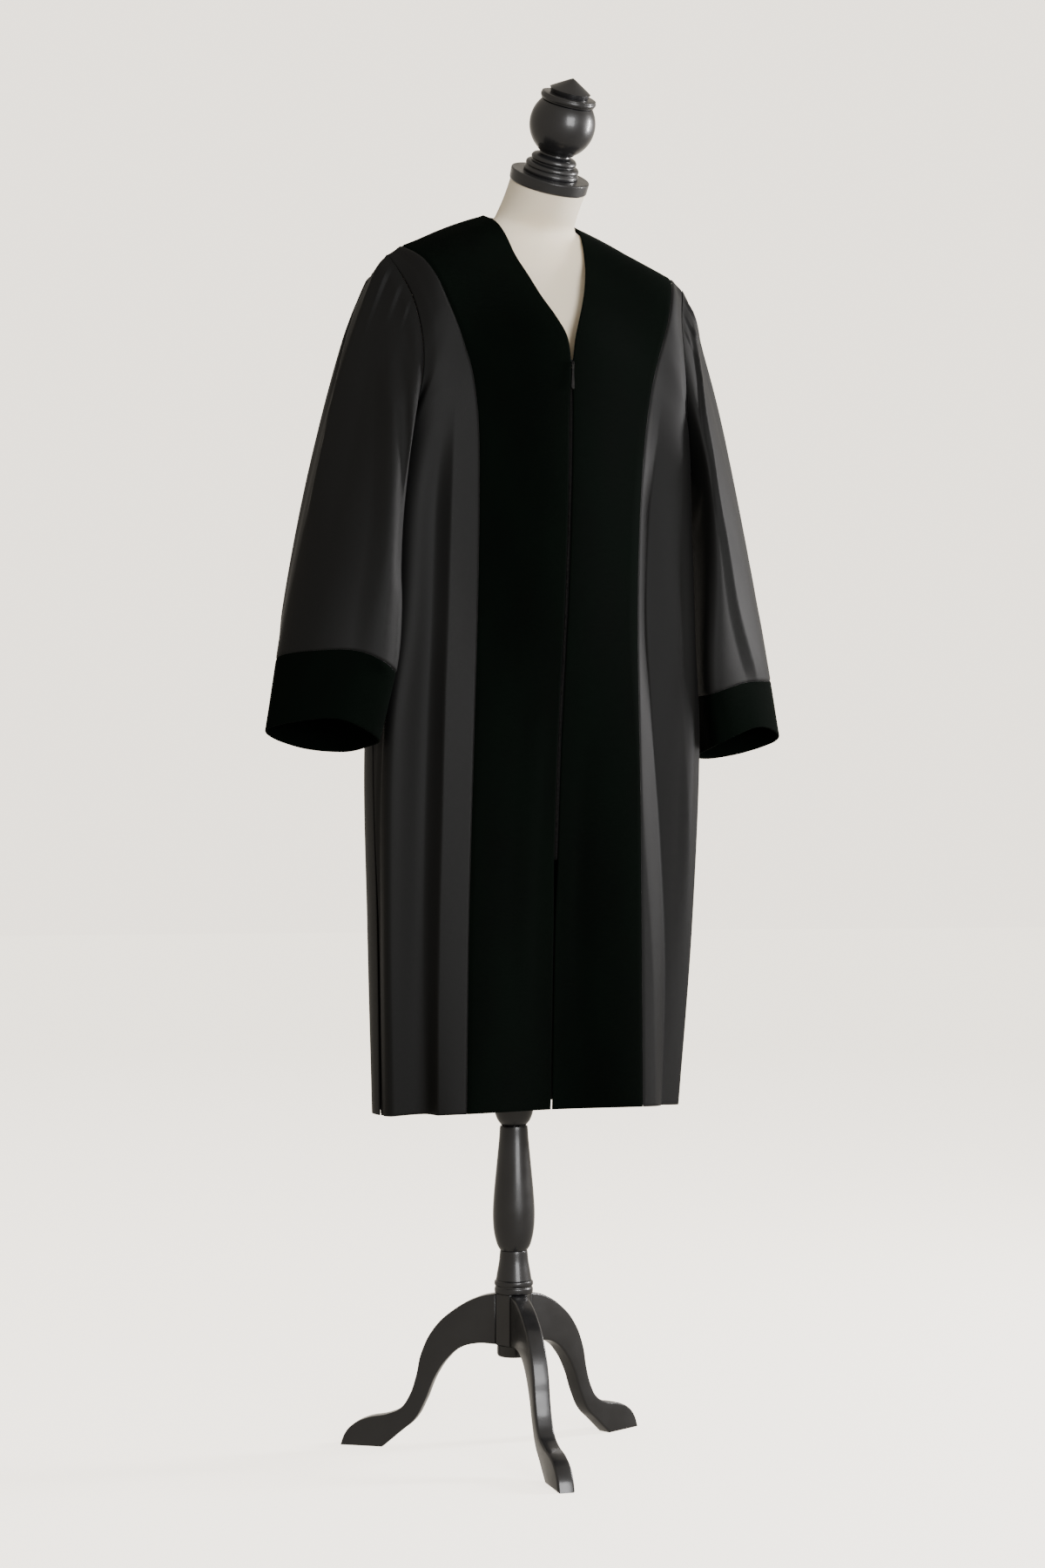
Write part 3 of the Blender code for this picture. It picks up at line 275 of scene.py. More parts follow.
pole_steel, place = new_finish("blackened steel tube")
paint(pole_steel, ranged(noise(place, 30.0)), (0.020, 0.020, 0.021), (0.055, 0.054, 0.053),
      ranged(noise(place, 160.0, 3.0, 0.5, (1, 1, 0.04)), 0.30, 0.48), [],
      {"Metallic": 0.8})
pole_radius = (pole_high[0] - pole_low[0]) / 2
pole = turn_on_lathe("pole_tube", [(0.0, pole_high[2]), (pole_radius, pole_high[2]),
                                   (pole_radius, pole_low[2]), (0.0, pole_low[2])],
                     pole_steel, on_pole)
finished(pole, "pole")

# ------------ hub and three legs
# The hub is a six-sided block of beech.  The legs are sawn from board to one S-shaped outline,
# their edges are routed round, and each is dowelled to every second side of the hub.

HUB_TOP = 0.2160
HUB_BOTTOM = 0.1468
HUB_RADIUS = 0.0255
HUB_EDGE = 0.0008
BOARD_SHARP = 40            # degrees: shading breaks at a sawn board's edges
LEG_THICKNESS = 0.0230
LEG_ROUNDING = 0.0030
FRONT_LEG_AZIMUTH = math.radians(-100.5)
# Distance from the pole's axis and height, down the upper edge and back up the lower one.
LEG_OUTLINE = [
    (0.049, 0.2096), (0.085, 0.19), (0.112, 0.164), (0.129, 0.131), (0.137, 0.097), (0.146, 0.072),
    (0.1585, 0.0545), (0.176, 0.046), (0.208, 0.0385), (0.227, 0.029), (0.2385, 0.0165),
]
LEG_UNDERSIDE = [
    (0.16, 0.021), (0.1385, 0.0395), (0.1245, 0.064), (0.1095, 0.099), (0.092, 0.1245),
    (0.0735, 0.14), (0.05, 0.147),
]
LEG_TOE = (0.2450, 0.0)
LEG_HEEL = (0.1850, 0.0)

board_lacquer = make_lacquer("gloss black lacquer on sawn board", (0.25, 0.25, 1.0))


def plain_mesh_of(piece):
    """The plain mesh of an object with curves or modifiers, in the frame; the object goes."""
    bpy.context.view_layer.update()
    evaluated = piece.evaluated_get(bpy.context.evaluated_depsgraph_get())
    mesh = bpy.data.meshes.new_from_object(evaluated)
    mesh.transform(piece.matrix_world)
    bpy.data.objects.remove(piece)
    return mesh


def add_leg(node, azimuth):
    root = HUB_RADIUS * math.cos(math.pi / 6) + LATHE_GAP
    corners = [(root, HUB_TOP), LEG_TOE, LEG_HEEL, (root, HUB_BOTTOM)]
    outline = [corners[0], *LEG_OUTLINE, LEG_TOE, LEG_HEEL, *LEG_UNDERSIDE, corners[3]]
    curve = bpy.data.curves.new(node, "CURVE")
    curve.dimensions = "2D"
    curve.fill_mode = "BOTH"
    curve.extrude = LEG_THICKNESS / 2 - LEG_ROUNDING
    curve.bevel_depth = LEG_ROUNDING
    curve.bevel_resolution = 3
    curve.offset = -LEG_ROUNDING
    curve.resolution_u = 8
    spline = curve.splines.new("BEZIER")
    spline.bezier_points.add(len(outline) - 1)
    for point, (x, y) in zip(spline.bezier_points, outline):
        point.co = (x, y, 0.0)
        kind = "VECTOR" if (x, y) in corners else "AUTO"
        point.handle_left_type = point.handle_right_type = kind
    spline.use_cyclic_u = True
    board = bpy.data.objects.new("board", curve)
    bpy.context.scene.collection.objects.link(board)
    board.location = POLE_AXIS
    board.rotation_euler = (math.pi / 2, 0, azimuth)
    builder = bmesh.new()
    builder.from_mesh(plain_mesh_of(board))
    bmesh.ops.remove_doubles(builder, verts=builder.verts, dist=1e-6)
    finished(link_built(f"{node}_board", builder, board_lacquer, BOARD_SHARP),
             node)


for k, node in enumerate(("leg_front", "leg_left", "leg_right")):
    add_leg(node, FRONT_LEG_AZIMUTH + k * 2 * math.pi / 3)

builder = bmesh.new()
bmesh.ops.create_cone(builder, segments=6, radius1=HUB_RADIUS, radius2=HUB_RADIUS,
                      depth=HUB_TOP - HUB_BOTTOM, cap_ends=True)
builder.transform(Matrix.Translation(POLE_AXIS + Vector((0, 0, (HUB_TOP + HUB_BOTTOM) / 2)))
                  @ Matrix.Rotation(FRONT_LEG_AZIMUTH, 4, "Z"))
hub = link_built("hub_block", builder, board_lacquer)
ease_edges(hub, HUB_EDGE, 3, 30)
finished(hub, "hub")

# ------------ dress form's torso
# A moulded torso without limbs, padded and covered with one layer of ivory cotton jersey that is
# stretched from the base to the neck and joined by a fine seam down the middle of the back.

# Sections from the base up: z, y, lean in degrees, half width, depth in front and behind, and
# the power of the outline, which is an ellipse at 2 and squarer above it.
TORSO = [
    (0.86, -0.036, 0, 0.15, 0.082, 0.08, 2.2), (0.93, -0.036, 0, 0.164, 0.09, 0.086, 2.2),
    (1.01, -0.038, 0, 0.16, 0.086, 0.082, 2.2), (1.12, -0.042, 0, 0.13, 0.076, 0.07, 2.2),
    (1.25, -0.044, 0, 0.148, 0.092, 0.084, 2.3), (1.38, -0.046, 0, 0.164, 0.107, 0.096, 2.3),
    (1.47, -0.046, 0, 0.168, 0.108, 0.096, 2.2), (1.53, -0.048, 0, 0.18, 0.092, 0.088, 2),
    (1.57, -0.052, 0, 0.192, 0.07, 0.072, 1.9), (1.6, -0.058, 0, 0.196, 0.05, 0.058, 1.8),
    (1.622, -0.066, 2, 0.19, 0.036, 0.049, 1.7), (1.64, -0.065, 5, 0.1605, 0.031, 0.046, 1.6),
    (1.656, -0.06, 9, 0.1215, 0.032, 0.044, 1.5), (1.672, -0.058, 14, 0.067, 0.04, 0.043, 1.7),
    (1.69, -0.074, 20, 0.0545, 0.049, 0.049, 2), (1.707, -0.091, 27, 0.052, 0.051, 0.052, 2),
    (1.72, -0.103, 30.5, 0.052, 0.052, 0.052, 2),
]
TORSO_COLUMNS = 128
TORSO_ROWS = 150
TORSO_SHARP = 50
NECK_Z, NECK_Y, NECK_LEAN = TORSO[-1][:3]


def along(rows, t):
    """The columns after t of a table, on a smooth curve through its rows."""
    last = len(rows) - 1
    k = min(sum(row[0] <= t for row in rows[1:]), last - 1)
    before, start, end, after = rows[max(k - 1, 0)], rows[k], rows[k + 1], rows[min(k + 2, last)]
    step = end[0] - start[0]
    f = (t - start[0]) / step
    values = []
    for p, a, b, q in zip(before[1:], start[1:], end[1:], after[1:]):
        slope_a = (b - p) / (end[0] - before[0]) * step
        slope_b = (q - a) / (after[0] - start[0]) * step
        values.append(a + f * (slope_a + f * (3 * (b - a) - 2 * slope_a - slope_b
                                              + f * (2 * (a - b) + slope_a + slope_b))))
    return values


def spread(start, end, count):
    return [start + (end - start) * i / count for i in range(count + 1)]


def torso_ring(z):
    centre_y, lean, half_width, front, back, square = along(TORSO, z)
    tilt = Matrix.Rotation(math.radians(lean), 3, "X")
    power = 2 / square
    ring = []
    for i in range(TORSO_COLUMNS):
        angle = 2 * math.pi * i / TORSO_COLUMNS
        cosine, sine = math.cos(angle), math.sin(angle)
        x = math.copysign(half_width * abs(cosine) ** power, cosine)
        y = math.copysign((back if sine > 0 else front) * abs(sine) ** power, sine)
        ring.append(tilt @ Vector((x, y, 0)) + Vector((0, centre_y, z)) + POLE_AXIS)
    return ring


jersey, place = new_finish("ivory cotton jersey")
paint(jersey, ranged(noise(place, 9.0)), (0.98, 0.84, 0.630), (0.99, 0.90, 0.730), 0.85,
      [(noise(place, 900.0, 2.0, 0.5, (1.0, 1.0, 0.35)), 0.00025, 0.35),
       (noise(place, 26.0), 0.0015, 0.10)],
      {"Sheen Weight": 0.25, "Sheen Roughness": 0.5})
torso_levels = spread(TORSO[0][0], NECK_Z, TORSO_ROWS)
torso = skin("torso_jersey", [torso_ring(z) for z in torso_levels[::-1]], jersey,
             TORSO_SHARP)
finished(torso, "dress_form")

# ------------ neck cap and its finial
# A turned disc closes the neck, and a finial of collar, ball, bead and cone stands on it along
# the neck's leaning axis.  The lengths are dowelled together and sprayed with the stand.

CAP_EDGE = 0.0018
NECK_CAP = [(0, 0.016), (0.0543, 0.016), (0.0535, 0), (0, 0)]
CAP_COLLAR = [
    (0, 0.0452), (0.0214, 0.0452), (0.0225, 0.0425), (0.0285, 0.0402), (0.031, 0.0372),
    (0.031, 0.0345), (0.0288, 0.0325), (0.029, 0.0312), (0.0345, 0.03), (0.0365, 0.0275),
    (0.0366, 0.025), (0.035, 0.0236), (0.0362, 0.0222), (0.0376, 0.0195), (0.0372, 0.0163),
    (0, 0.0163),
]
BALL_RADIUS = 0.0445
BALL_HEIGHT = 0.0845
BALL_STEPS = 14
BEAD = [
    (0, 0.1236), (0.033, 0.1236), (0.037, 0.121), (0.0378, 0.1185), (0.0365, 0.1155),
    (0.032, 0.113), (0, 0.113),
]
CONE = [
    (0, 0.1464), (0.006, 0.1432), (0.0262, 0.131), (0.027, 0.1292), (0.0255, 0.124), (0, 0.124),
]

ball_top = math.asin((BEAD[-1][1] - LATHE_GAP - BALL_HEIGHT) / BALL_RADIUS)
ball_bottom = math.asin((CAP_COLLAR[0][1] + LATHE_GAP - BALL_HEIGHT) / BALL_RADIUS)
ball = [(BALL_RADIUS * math.cos(angle), BALL_HEIGHT + BALL_RADIUS * math.sin(angle))
        for angle in spread(ball_top, ball_bottom, BALL_STEPS)]
BALL = [(0.0, ball[0][1]), *ball, (0.0, ball[-1][1])]

on_neck = (Matrix.Translation(POLE_AXIS + Vector((0, NECK_Y, NECK_Z + LATHE_GAP)))
           @ Matrix.Rotation(math.radians(NECK_LEAN), 4, "X"))
for node, profile in (("neck_cap", NECK_CAP), ("cap_collar", CAP_COLLAR), ("finial_ball", BALL),
                      ("finial_bead", BEAD), ("finial_cone", CONE)):
    edge = CAP_EDGE if node == "neck_cap" else LATHE_EDGE
    turned = turn_on_lathe(f"{node}_turned", profile, lacquer, on_neck, edge)
    finished(turned, node)

# ------------ cut of the robe's body
# The body of the robe is cut as a back, two side fronts and two velvet bands.  They meet at the
# shoulder seam, the velvet seam and the side, so their lines are given once, for the left half.

GAP = 0.0003
HEM_Z = 0.470
NECK_X = 0.070
SHOULDER_NECK_Z = 1.6865
BACK_NECK_T = 0.020
ZIP_TOP_T = 0.2135
ZIP_END_T = 0.7327
ZIP_HALF = 0.0030
SLIT_HALF = 0.0012
SECTION_STEPS = 180
NORMAL_REACH = 0.012        # of s and t to either side, where the cloth's direction is measured

# Lines down the robe: t from 0 at the shoulder seam to 1 at the hem, then x, y and z.
OPENING = [
    (0, NECK_X, -0.0445, SHOULDER_NECK_Z), (0.022, 0.064, -0.074, 1.671),
    (0.044, 0.059, -0.093, 1.65), (0.074, 0.053, -0.1115, 1.618), (0.104, 0.0425, -0.1315, 1.586),
    (0.134, 0.0312, -0.1465, 1.557), (0.16, 0.0165, -0.163, 1.526), (0.185, 0.006, -0.1727, 1.499),
    (ZIP_TOP_T, 0.0014, -0.174, 1.461), (0.265, ZIP_HALF, -0.1715, 1.397),
    (0.36, ZIP_HALF, -0.1675, 1.277), (0.48, ZIP_HALF, -0.156, 1.125),
    (0.6, ZIP_HALF, -0.139, 0.974), (0.732, ZIP_HALF, -0.127, 0.808),
    (0.8, SLIT_HALF, -0.122, 0.722), (1, SLIT_HALF, -0.113, HEM_Z + 0.004),
]
VELVET_SEAM = [
    (0, 0.2065, -0.077, 1.621), (0.022, 0.1975, -0.097, 1.6105), (0.044, 0.1875, -0.1145, 1.596),
    (0.074, 0.1765, -0.1305, 1.5705), (0.104, 0.167, -0.139, 1.5425),
    (0.134, 0.156, -0.1445, 1.513), (0.167, 0.1448, -0.1476, 1.48), (0.205, 0.1345, -0.1505, 1.442),
    (0.265, 0.1261, -0.15, 1.378), (0.36, 0.1229, -0.1455, 1.265), (0.48, 0.1225, -0.1395, 1.12),
    (0.6, 0.1248, -0.1348, 0.971), (0.8, 0.1296, -0.1294, 0.719), (1, 0.132, -0.128, HEM_Z + 0.004),
]
CORNER = [
    (0, 0.217, -0.077, 1.613), (0.05, 0.199, -0.113, 1.577), (0.104, 0.186, -0.1365, 1.521),
    (0.134, 0.182, -0.142, 1.487), (0.167, 0.185, -0.144, 1.448), (0.205, 0.197, -0.138, 1.406),
    (0.235, 0.203, -0.133, 1.38), (0.265, 0.206, -0.131, 1.352), (0.36, 0.212, -0.1255, 1.25),
    (0.48, 0.217, -0.124, 1.11), (0.6, 0.229, -0.112, 0.968), (0.8, 0.226, -0.097, 0.718),
    (1, 0.214, -0.08, HEM_Z),
]
ARMHOLE_FRONT = [
    (0, 0.226, -0.0765, 1.6065), (0.022, 0.219, -0.089, 1.589), (0.05, 0.2086, -0.105, 1.56),
    (0.074, 0.203, -0.117, 1.534), (0.104, 0.1997, -0.128, 1.5), (0.134, 0.1988, -0.1345, 1.463),
    (0.167, 0.2015, -0.132, 1.424), (0.205, 0.2055, -0.106, 1.385), (0.235, 0.2078, -0.075, 1.365),
    (0.265, 0.209, -0.04, 1.355),
]
ARMHOLE_BACK = [
    (0, 0.226, -0.0765, 1.6065), (0.022, 0.224, -0.05, 1.596), (0.05, 0.218, -0.019, 1.572),
    (0.074, 0.212, 0.001, 1.546), (0.104, 0.206, 0.017, 1.51), (0.134, 0.202, 0.025, 1.47),
    (0.167, 0.202, 0.024, 1.428), (0.205, 0.205, 0.006, 1.388), (0.235, 0.208, -0.015, 1.366),
    (0.265, 0.209, -0.04, 1.355),
]
SIDE_SEAM = [
    (0.265, 0.209, -0.04, 1.355), (0.36, 0.212, -0.04, 1.25), (0.48, 0.219, -0.046, 1.112),
    (0.6, 0.238, -0.062, 0.968), (0.8, 0.229, -0.056, 0.718), (1, 0.221, -0.047, HEM_Z),
]
# The middle of the back: t, y, z, then the powers of the half section's outline and of its droop.
BACK = [
    (0, -0.038, 1.701, 1, 1.5), (0.022, -0.014, 1.693, 1.7, 1.5), (0.048, 0.014, 1.665, 2, 1.4),
    (0.078, 0.036, 1.63, 2.1, 1.3), (0.112, 0.054, 1.585, 2.2, 1.2),
    (0.144, 0.066, 1.543, 2.3, 1.1), (0.176, 0.073, 1.505, 2.3, 1), (0.216, 0.077, 1.455, 2.3, 1),
    (0.265, 0.078, 1.395, 2.3, 1), (0.36, 0.076, 1.27, 2.3, 1), (0.48, 0.074, 1.12, 2.3, 1),
    (0.6, 0.075, 0.97, 2.4, 1), (0.8, 0.076, 0.718, 2.6, 1), (1, 0.076, HEM_Z, 2.4, 1),
]
# The shoulder seam from the middle of the back outwards: x, y and z.
SHOULDER = [
    (0, -0.038, 1.701), (0.035, -0.04, 1.697), (NECK_X, -0.0445, SHOULDER_NECK_Z),
    (0.11, -0.0585, 1.6665), (0.15, -0.07, 1.6485), (0.19, -0.0765, 1.631),
    (0.226, -0.0765, 1.6065),
]
UNDERARM_T = SIDE_SEAM[0][0]

# Folds down to the hem: face, side (-1 right, 1 left, 0 both), start, distance from the middle at a
# few levels, widths towards the middle and the side, depth at the start and at the hem, form.  A
# positive depth is a ridge.  A soft fold is round, an edged one starts with a fold line towards
# the middle, and a creased one has its fold line along its bottom.
FOLDS = [
    ("front", -1, 0.2, ((0.2, 0.186), (0.4, 0.187), (0.6, 0.188), (0.83, 0.192), (1, 0.193)), 0.021,
     0.056, -0.012, -0.021, "edged"),
    ("front", 1, 0.2, ((0.2, 0.158), (0.32, 0.147), (0.46, 0.141), (0.58, 0.152), (0.7, 0.168),
     (0.85, 0.185), (1, 0.192)), 0.036, 0.046, -0.014, -0.011, "creased"),
    ("back", 0, 0.3, ((0.3, 0), (1, 0)), 0.036, 0.036, 0.004, 0.012, "soft"),
    ("back", 0, 0.26, ((0.26, 0.05), (1, 0.056)), 0.026, 0.026, -0.005, -0.012, "soft"),
    ("back", 0, 0.24, ((0.24, 0.1), (1, 0.11)), 0.032, 0.032, 0.005, 0.014, "soft"),
    ("back", 0, 0.3, ((0.3, 0.15), (1, 0.166)), 0.028, 0.028, -0.004, -0.014, "soft"),
]
FOLD_FADE_T = 0.16
CREASE_POWER = 1.25

# Creases between two places of a panel: face, side, place and level of both ends, the bow half
# way along, widths on either side, depth.
CREASES = [
    # the wearer's right: the fold line near the side
    ("front", -1, 0.252, 0.56, 0.268, 0.88, 0.004, 0.005, 0.016, -0.0024),
    ("front", -1, 0.27, 0.8, 0.252, 1.06, 0.003, 0.005, 0.014, -0.0022),
    # the wearer's left: the edge that rolls to the side
    ("front", 1, 0.206, 0.24, 0.214, 0.86, 0.004, 0.022, 0.016, 0.0026),
    # soft pull along the zip
    ("front", -1, 0.03, 0.52, 0.044, 0.94, 0.006, 0.022, 0.026, 0.001),
    ("front", 1, 0.04, 0.56, 0.044, 0.98, -0.006, 0.02, 0.026, -0.001),
    # the back: fullness that starts between the shoulder blades
    ("back", -1, 0.024, 0.18, 0.03, 0.62, 0.005, 0.016, 0.024, -0.0026),
    ("back", 1, 0.03, 0.22, 0.022, 0.86, -0.004, 0.022, 0.015, -0.003),
    ("back", -1, 0.08, 0.14, 0.084, 0.56, 0.004, 0.014, 0.024, -0.0028),
    ("back", 1, 0.076, 0.18, 0.082, 0.74, 0.006, 0.024, 0.016, 0.0026),
    ("back", -1, 0.132, 0.16, 0.138, 0.88, -0.005, 0.02, 0.02, 0.003),
    ("back", 1, 0.134, 0.2, 0.128, 0.66, 0.004, 0.015, 0.024, -0.0032),
    ("back", -1, 0.19, 0.24, 0.206, 0.94, 0.006, 0.016, 0.026, -0.0036),
    ("back", 1, 0.194, 0.26, 0.202, 0.8, -0.005, 0.024, 0.018, 0.0034),
    ("back", -1, 0.16, 0.06, 0.186, 0.22, 0.004, 0.012, 0.02, -0.002),
    ("back", 1, 0.15, 0.05, 0.184, 0.21, 0.005, 0.012, 0.02, -0.0022),
]
CREASE_FADE = 0.3           # share of a crease that its ends take to fade
BODY_LENGTH = 1.24          # from the shoulder seam to the hem over the cloth


def smooth(f):
    f = np.clip(f, 0.0, 1.0)
    return f * f * (3 - 2 * f)


def bump(distance, near, far, form="soft"):
    """A rise from 0 to 1 over the near width and back to 0 over the far one."""
    f = np.clip(np.abs(distance) / np.where(distance < 0, near, far), 0.0, 1.0)
    rise = 0.5 + 0.5 * np.cos(np.pi * f)
    if form == "edged":
        return np.where(distance < 0, np.cos(np.pi / 2 * f), rise)
    return (1.0 - f) ** CREASE_POWER if form == "creased" else rise


def crease_rise(x, y, run, bow, fade, near, far):
    """The rise of a crease along a run from x = y = 0, bowed sideways and faded at its ends."""
    share = (x * run.x + y * run.y) / run.length_squared
    sideways = (x * run.y - y * run.x) / run.length
    sideways = sideways - bow * np.sin(np.pi * np.clip(share, 0.0, 1.0))
    return smooth(share / fade) * smooth((1.0 - share) / fade) * bump(sideways, near, far)


def path_place(path, level):
    """Where a fold's path is at a level; the path is a few pairs of level and place."""
    return along(path, min(max(level, path[0][0]), path[-1][0]))[0]


def side_edge(face, t):
    if t >= UNDERARM_T:
        return Vector(along(SIDE_SEAM, t))
    return Vector(along(ARMHOLE_FRONT if face == "front" else ARMHOLE_BACK, t))


def curve_through(points, leave_direction, count):
    """Evenly many points on a smooth curve through a few."""
    directions = [leave_direction, *((b - a).normalized() for a, b in zip(points, points[2:])),
                  (points[-1] - points[-2]).normalized()]
    result = points[:1]
    for k, (start, end) in enumerate(zip(points, points[1:])):
        reach = (end - start).length
        result += bend(start, end, directions[k] * reach, directions[k + 1] * reach, count)
    return result


@lru_cache(maxsize=None)
def half_section(face, t):
    """Points across one half of the robe at a level, and their distances along the cloth."""
    side = side_edge(face, t)
    if t == 0.0:
        points = [Vector((x, *along(SHOULDER, x))) for x in spread(0.0, side.x, SECTION_STEPS)]
    elif face == "front":
        opening, seam, corner = (Vector(along(rows, t)) for rows in (OPENING, VELVET_SEAM, CORNER))
        settled = float(smooth(t / ZIP_TOP_T))
        level_out = (seam - opening).normalized().lerp(Vector((1, 0, 0)), settled)
        points = [Vector((0.0, opening.y, opening.z)),
                  *curve_through([opening, seam, corner, side], level_out.normalized(),
                                 SECTION_STEPS // 3)]
    else:
        middle_y, middle_z, square, droop = along(BACK, t)
        points = []
        for angle in spread(0.0, math.pi / 2, SECTION_STEPS):
            x = side.x * math.sin(angle) ** (2 / square)
            y = side.y + (middle_y - side.y) * abs(math.cos(angle)) ** (2 / square)
            points.append(Vector((x, y, middle_z + (side.z - middle_z) * (x / side.x) ** droop)))
    points = np.array(points)
    steps = np.linalg.norm(np.diff(points, axis=0), axis=1)
    return points, np.concatenate(([0.0], np.cumsum(steps)))


def half_length(face, t):
    return half_section(face, t)[1][-1]


def plain_points(face, s, t):
    """The robe without its folds at an array of s (from -1 to 1) and one level."""
    points, distances = half_section(face, min(max(t, 0.0), 1.0))
    target = np.minimum(np.abs(s), 1.0) * distances[-1]
    found = np.stack([np.interp(target, distances, points[:, k]) for k in range(3)], axis=-1)
    found[..., 0] = np.copysign(found[..., 0], s)
    return found


def s_at(face, x, t):
    """The s of the place where a half section is x from the middle."""
    points, distances = half_section(face, t)
    k = int(np.argmax(points[:, 0] >= x)) if points[-1, 0] >= x else len(points) - 1
    f = (x - points[k - 1, 0]) / (points[k, 0] - points[k - 1, 0])
    return (distances[k - 1] + f * (distances[k] - distances[k - 1])) / distances[-1]


def unit(vectors):
    return vectors / np.maximum(np.linalg.norm(vectors, axis=-1, keepdims=True), 1e-12)


def plain_normals(face, s, t):
    across = (plain_points(face, np.minimum(s + NORMAL_REACH, 1.0), t)
              - plain_points(face, np.maximum(s - NORMAL_REACH, -1.0), t))
    down = (plain_points(face, s, min(t + NORMAL_REACH, 1.0))
            - plain_points(face, s, max(t - NORMAL_REACH, 0.0)))
    return unit(np.cross(down, across) if face == "front" else np.cross(across, down))


def fold_heights(face, s, t):
    """How far the folds and the creases move the cloth outwards."""
    distance = np.abs(s) * half_length(face, t)
    height = np.zeros_like(s)
    for on_face, side, start_t, path, near, far, depth_top, depth_hem, form in FOLDS:
        if on_face == face and t > start_t:
            depth = depth_top + (depth_hem - depth_top) * (t - start_t) / (1.0 - start_t)
            there = (float(smooth((t - start_t) / FOLD_FADE_T)) * depth
                     * bump(distance - path_place(path, t), near, far, form))
            height += np.where(side * s < 0, 0.0, there)
    for on_face, side, place, level, place_end, level_end, bow, near, far, depth in CREASES:
        if on_face == face:
            run = Vector((place_end - place, (level_end - level) * BODY_LENGTH))
            there = depth * crease_rise(distance - place, (t - level) * BODY_LENGTH, run, bow,
                                        CREASE_FADE, near, far)
            height += np.where(side * s < 0, 0.0, there)
    return height


def cloth_points(face, s, t, behind=0.0):
    """The robe with its folds, or places some way behind them."""
    s = np.asarray(s, dtype=float)
    height = fold_heights(face, s, t) - behind
    return plain_points(face, s, t) + plain_normals(face, s, t) * height[..., None]


# ------------ wool of the robe
# The robe is a light worsted wool: a tight, dry, dark charcoal twill that has a soft sheen where
# it turns to the light.  One maker's length of it makes the back, the side fronts and the sleeves.

TWILL_PITCH = 0.0011        # between the diagonal ribs of the weave
WAVE_SHARE = 0.32           # of a wave's scale to the ribs in a metre
CLOTH_EDGE = 0.25           # how far a cloth's edges are eased, as a share of its wall
CLOTH_EDGE_ANGLE = 65

wool, weave = new_finish("charcoal worsted wool", "ShaderNodeUVMap", "UV")
ribs = add(wool.node_tree, "ShaderNodeTexWave", "Fac",
           {"Vector": weave, "Scale": WAVE_SHARE / TWILL_PITCH, "Distortion": 0.6, "Detail": 1.0},
           bands_direction="DIAGONAL")
yarn_across = noise(weave, 1500.0, 2.0, 0.5, (0.08, 1.0, 1.0))
yarn_along = noise(weave, 1500.0, 2.0, 0.5, (1.0, 0.05, 1.0))
shade = noise(weave, 7.0, 4.0, 0.55, (1.0, 0.35, 1.0))
tone = add(wool.node_tree, "ShaderNodeMath", "Value",
           {0: ranged(yarn_across, 0.80, 1.15), 1: ranged(shade, 0.25, 0.75)},
           operation="MULTIPLY")
paint(wool, tone, (0.0044, 0.0046, 0.0047), (0.0090, 0.0093, 0.0094),
      ranged(shade, 0.54, 0.62),
      [(ribs, 0.00012, 0.45), (yarn_along, 0.00010, 0.4), (shade, 0.0008, 0.20)],
      {"Specular IOR Level": 0.15, "Sheen Weight": 0.018, "Sheen Roughness": 0.35,
       "Sheen Tint": (0.80, 0.77, 0.78, 1.0)})


def shell_from_grid(name, grid, thickness, material, closed=False):
    """A cloth wall behind a grid of points, its weave's map in metres, and the size of its cut."""
    grid = np.asarray(grid) + np.array(POLE_AXIS)
    rows, columns = grid.shape[:2]
    across = np.linalg.norm(np.diff(grid, axis=1), axis=2).cumsum(axis=1)
    down = np.linalg.norm(np.diff(grid, axis=0), axis=2).cumsum(axis=0).mean(axis=1)
    area = np.linalg.norm(np.cross(grid[1:, :-1] - grid[:-1, :-1], grid[:-1, 1:] - grid[:-1, :-1]),
                          axis=2).sum()
    cut = float(across[:, -1].max()), float(down[-1]), float(area)
    wrapped = across[:, -1:] * columns / (columns - 1)
    across = np.hstack((np.zeros((rows, 1)), across, wrapped))
    down = np.append(0.0, down)
    cells = [((j, i), (j + 1, i), (j + 1, i + 1), (j, i + 1))
             for j in range(rows - 1) for i in range(columns if closed else columns - 1)]
    mesh = bpy.data.meshes.new(name)
    mesh.from_pydata(grid.reshape(-1, 3).tolist(), [],
                     [[a * columns + b % columns for a, b in cell] for cell in cells])
    mesh.uv_layers.new(name="weave").data.foreach_set(
        "uv", [value for cell in cells for a, b in cell for value in (across[a, b], -down[a])])
    mesh.shade_smooth()
    piece = link_mesh(name, mesh, material)
    wall = piece.modifiers.new("wall", "SOLIDIFY")
    wall.thickness = thickness
    wall.offset = -1.0
    wall.use_even_offset = False
    ease_edges(piece, thickness * CLOTH_EDGE, angle=CLOTH_EDGE_ANGLE)
    return piece, cut


def hang_cloth(shell, node=None):
    """One cut piece of cloth stands for its node and rides on the stand."""
    piece, (width, length, area) = shell
    finished(piece, node)
    return piece


# ------------ the back
# One width of the wool, from side to side and shoulder to hem.  It hangs free from the shoulder
# blades in soft uneven folds and is scooped a little at the neck.

WOOL_WALL = 0.0016
BACK_ROWS = 230
BACK_COLUMNS = 130
BACK_EDGE_S = 0.9985
CLOTH_TOP_T = 0.0012


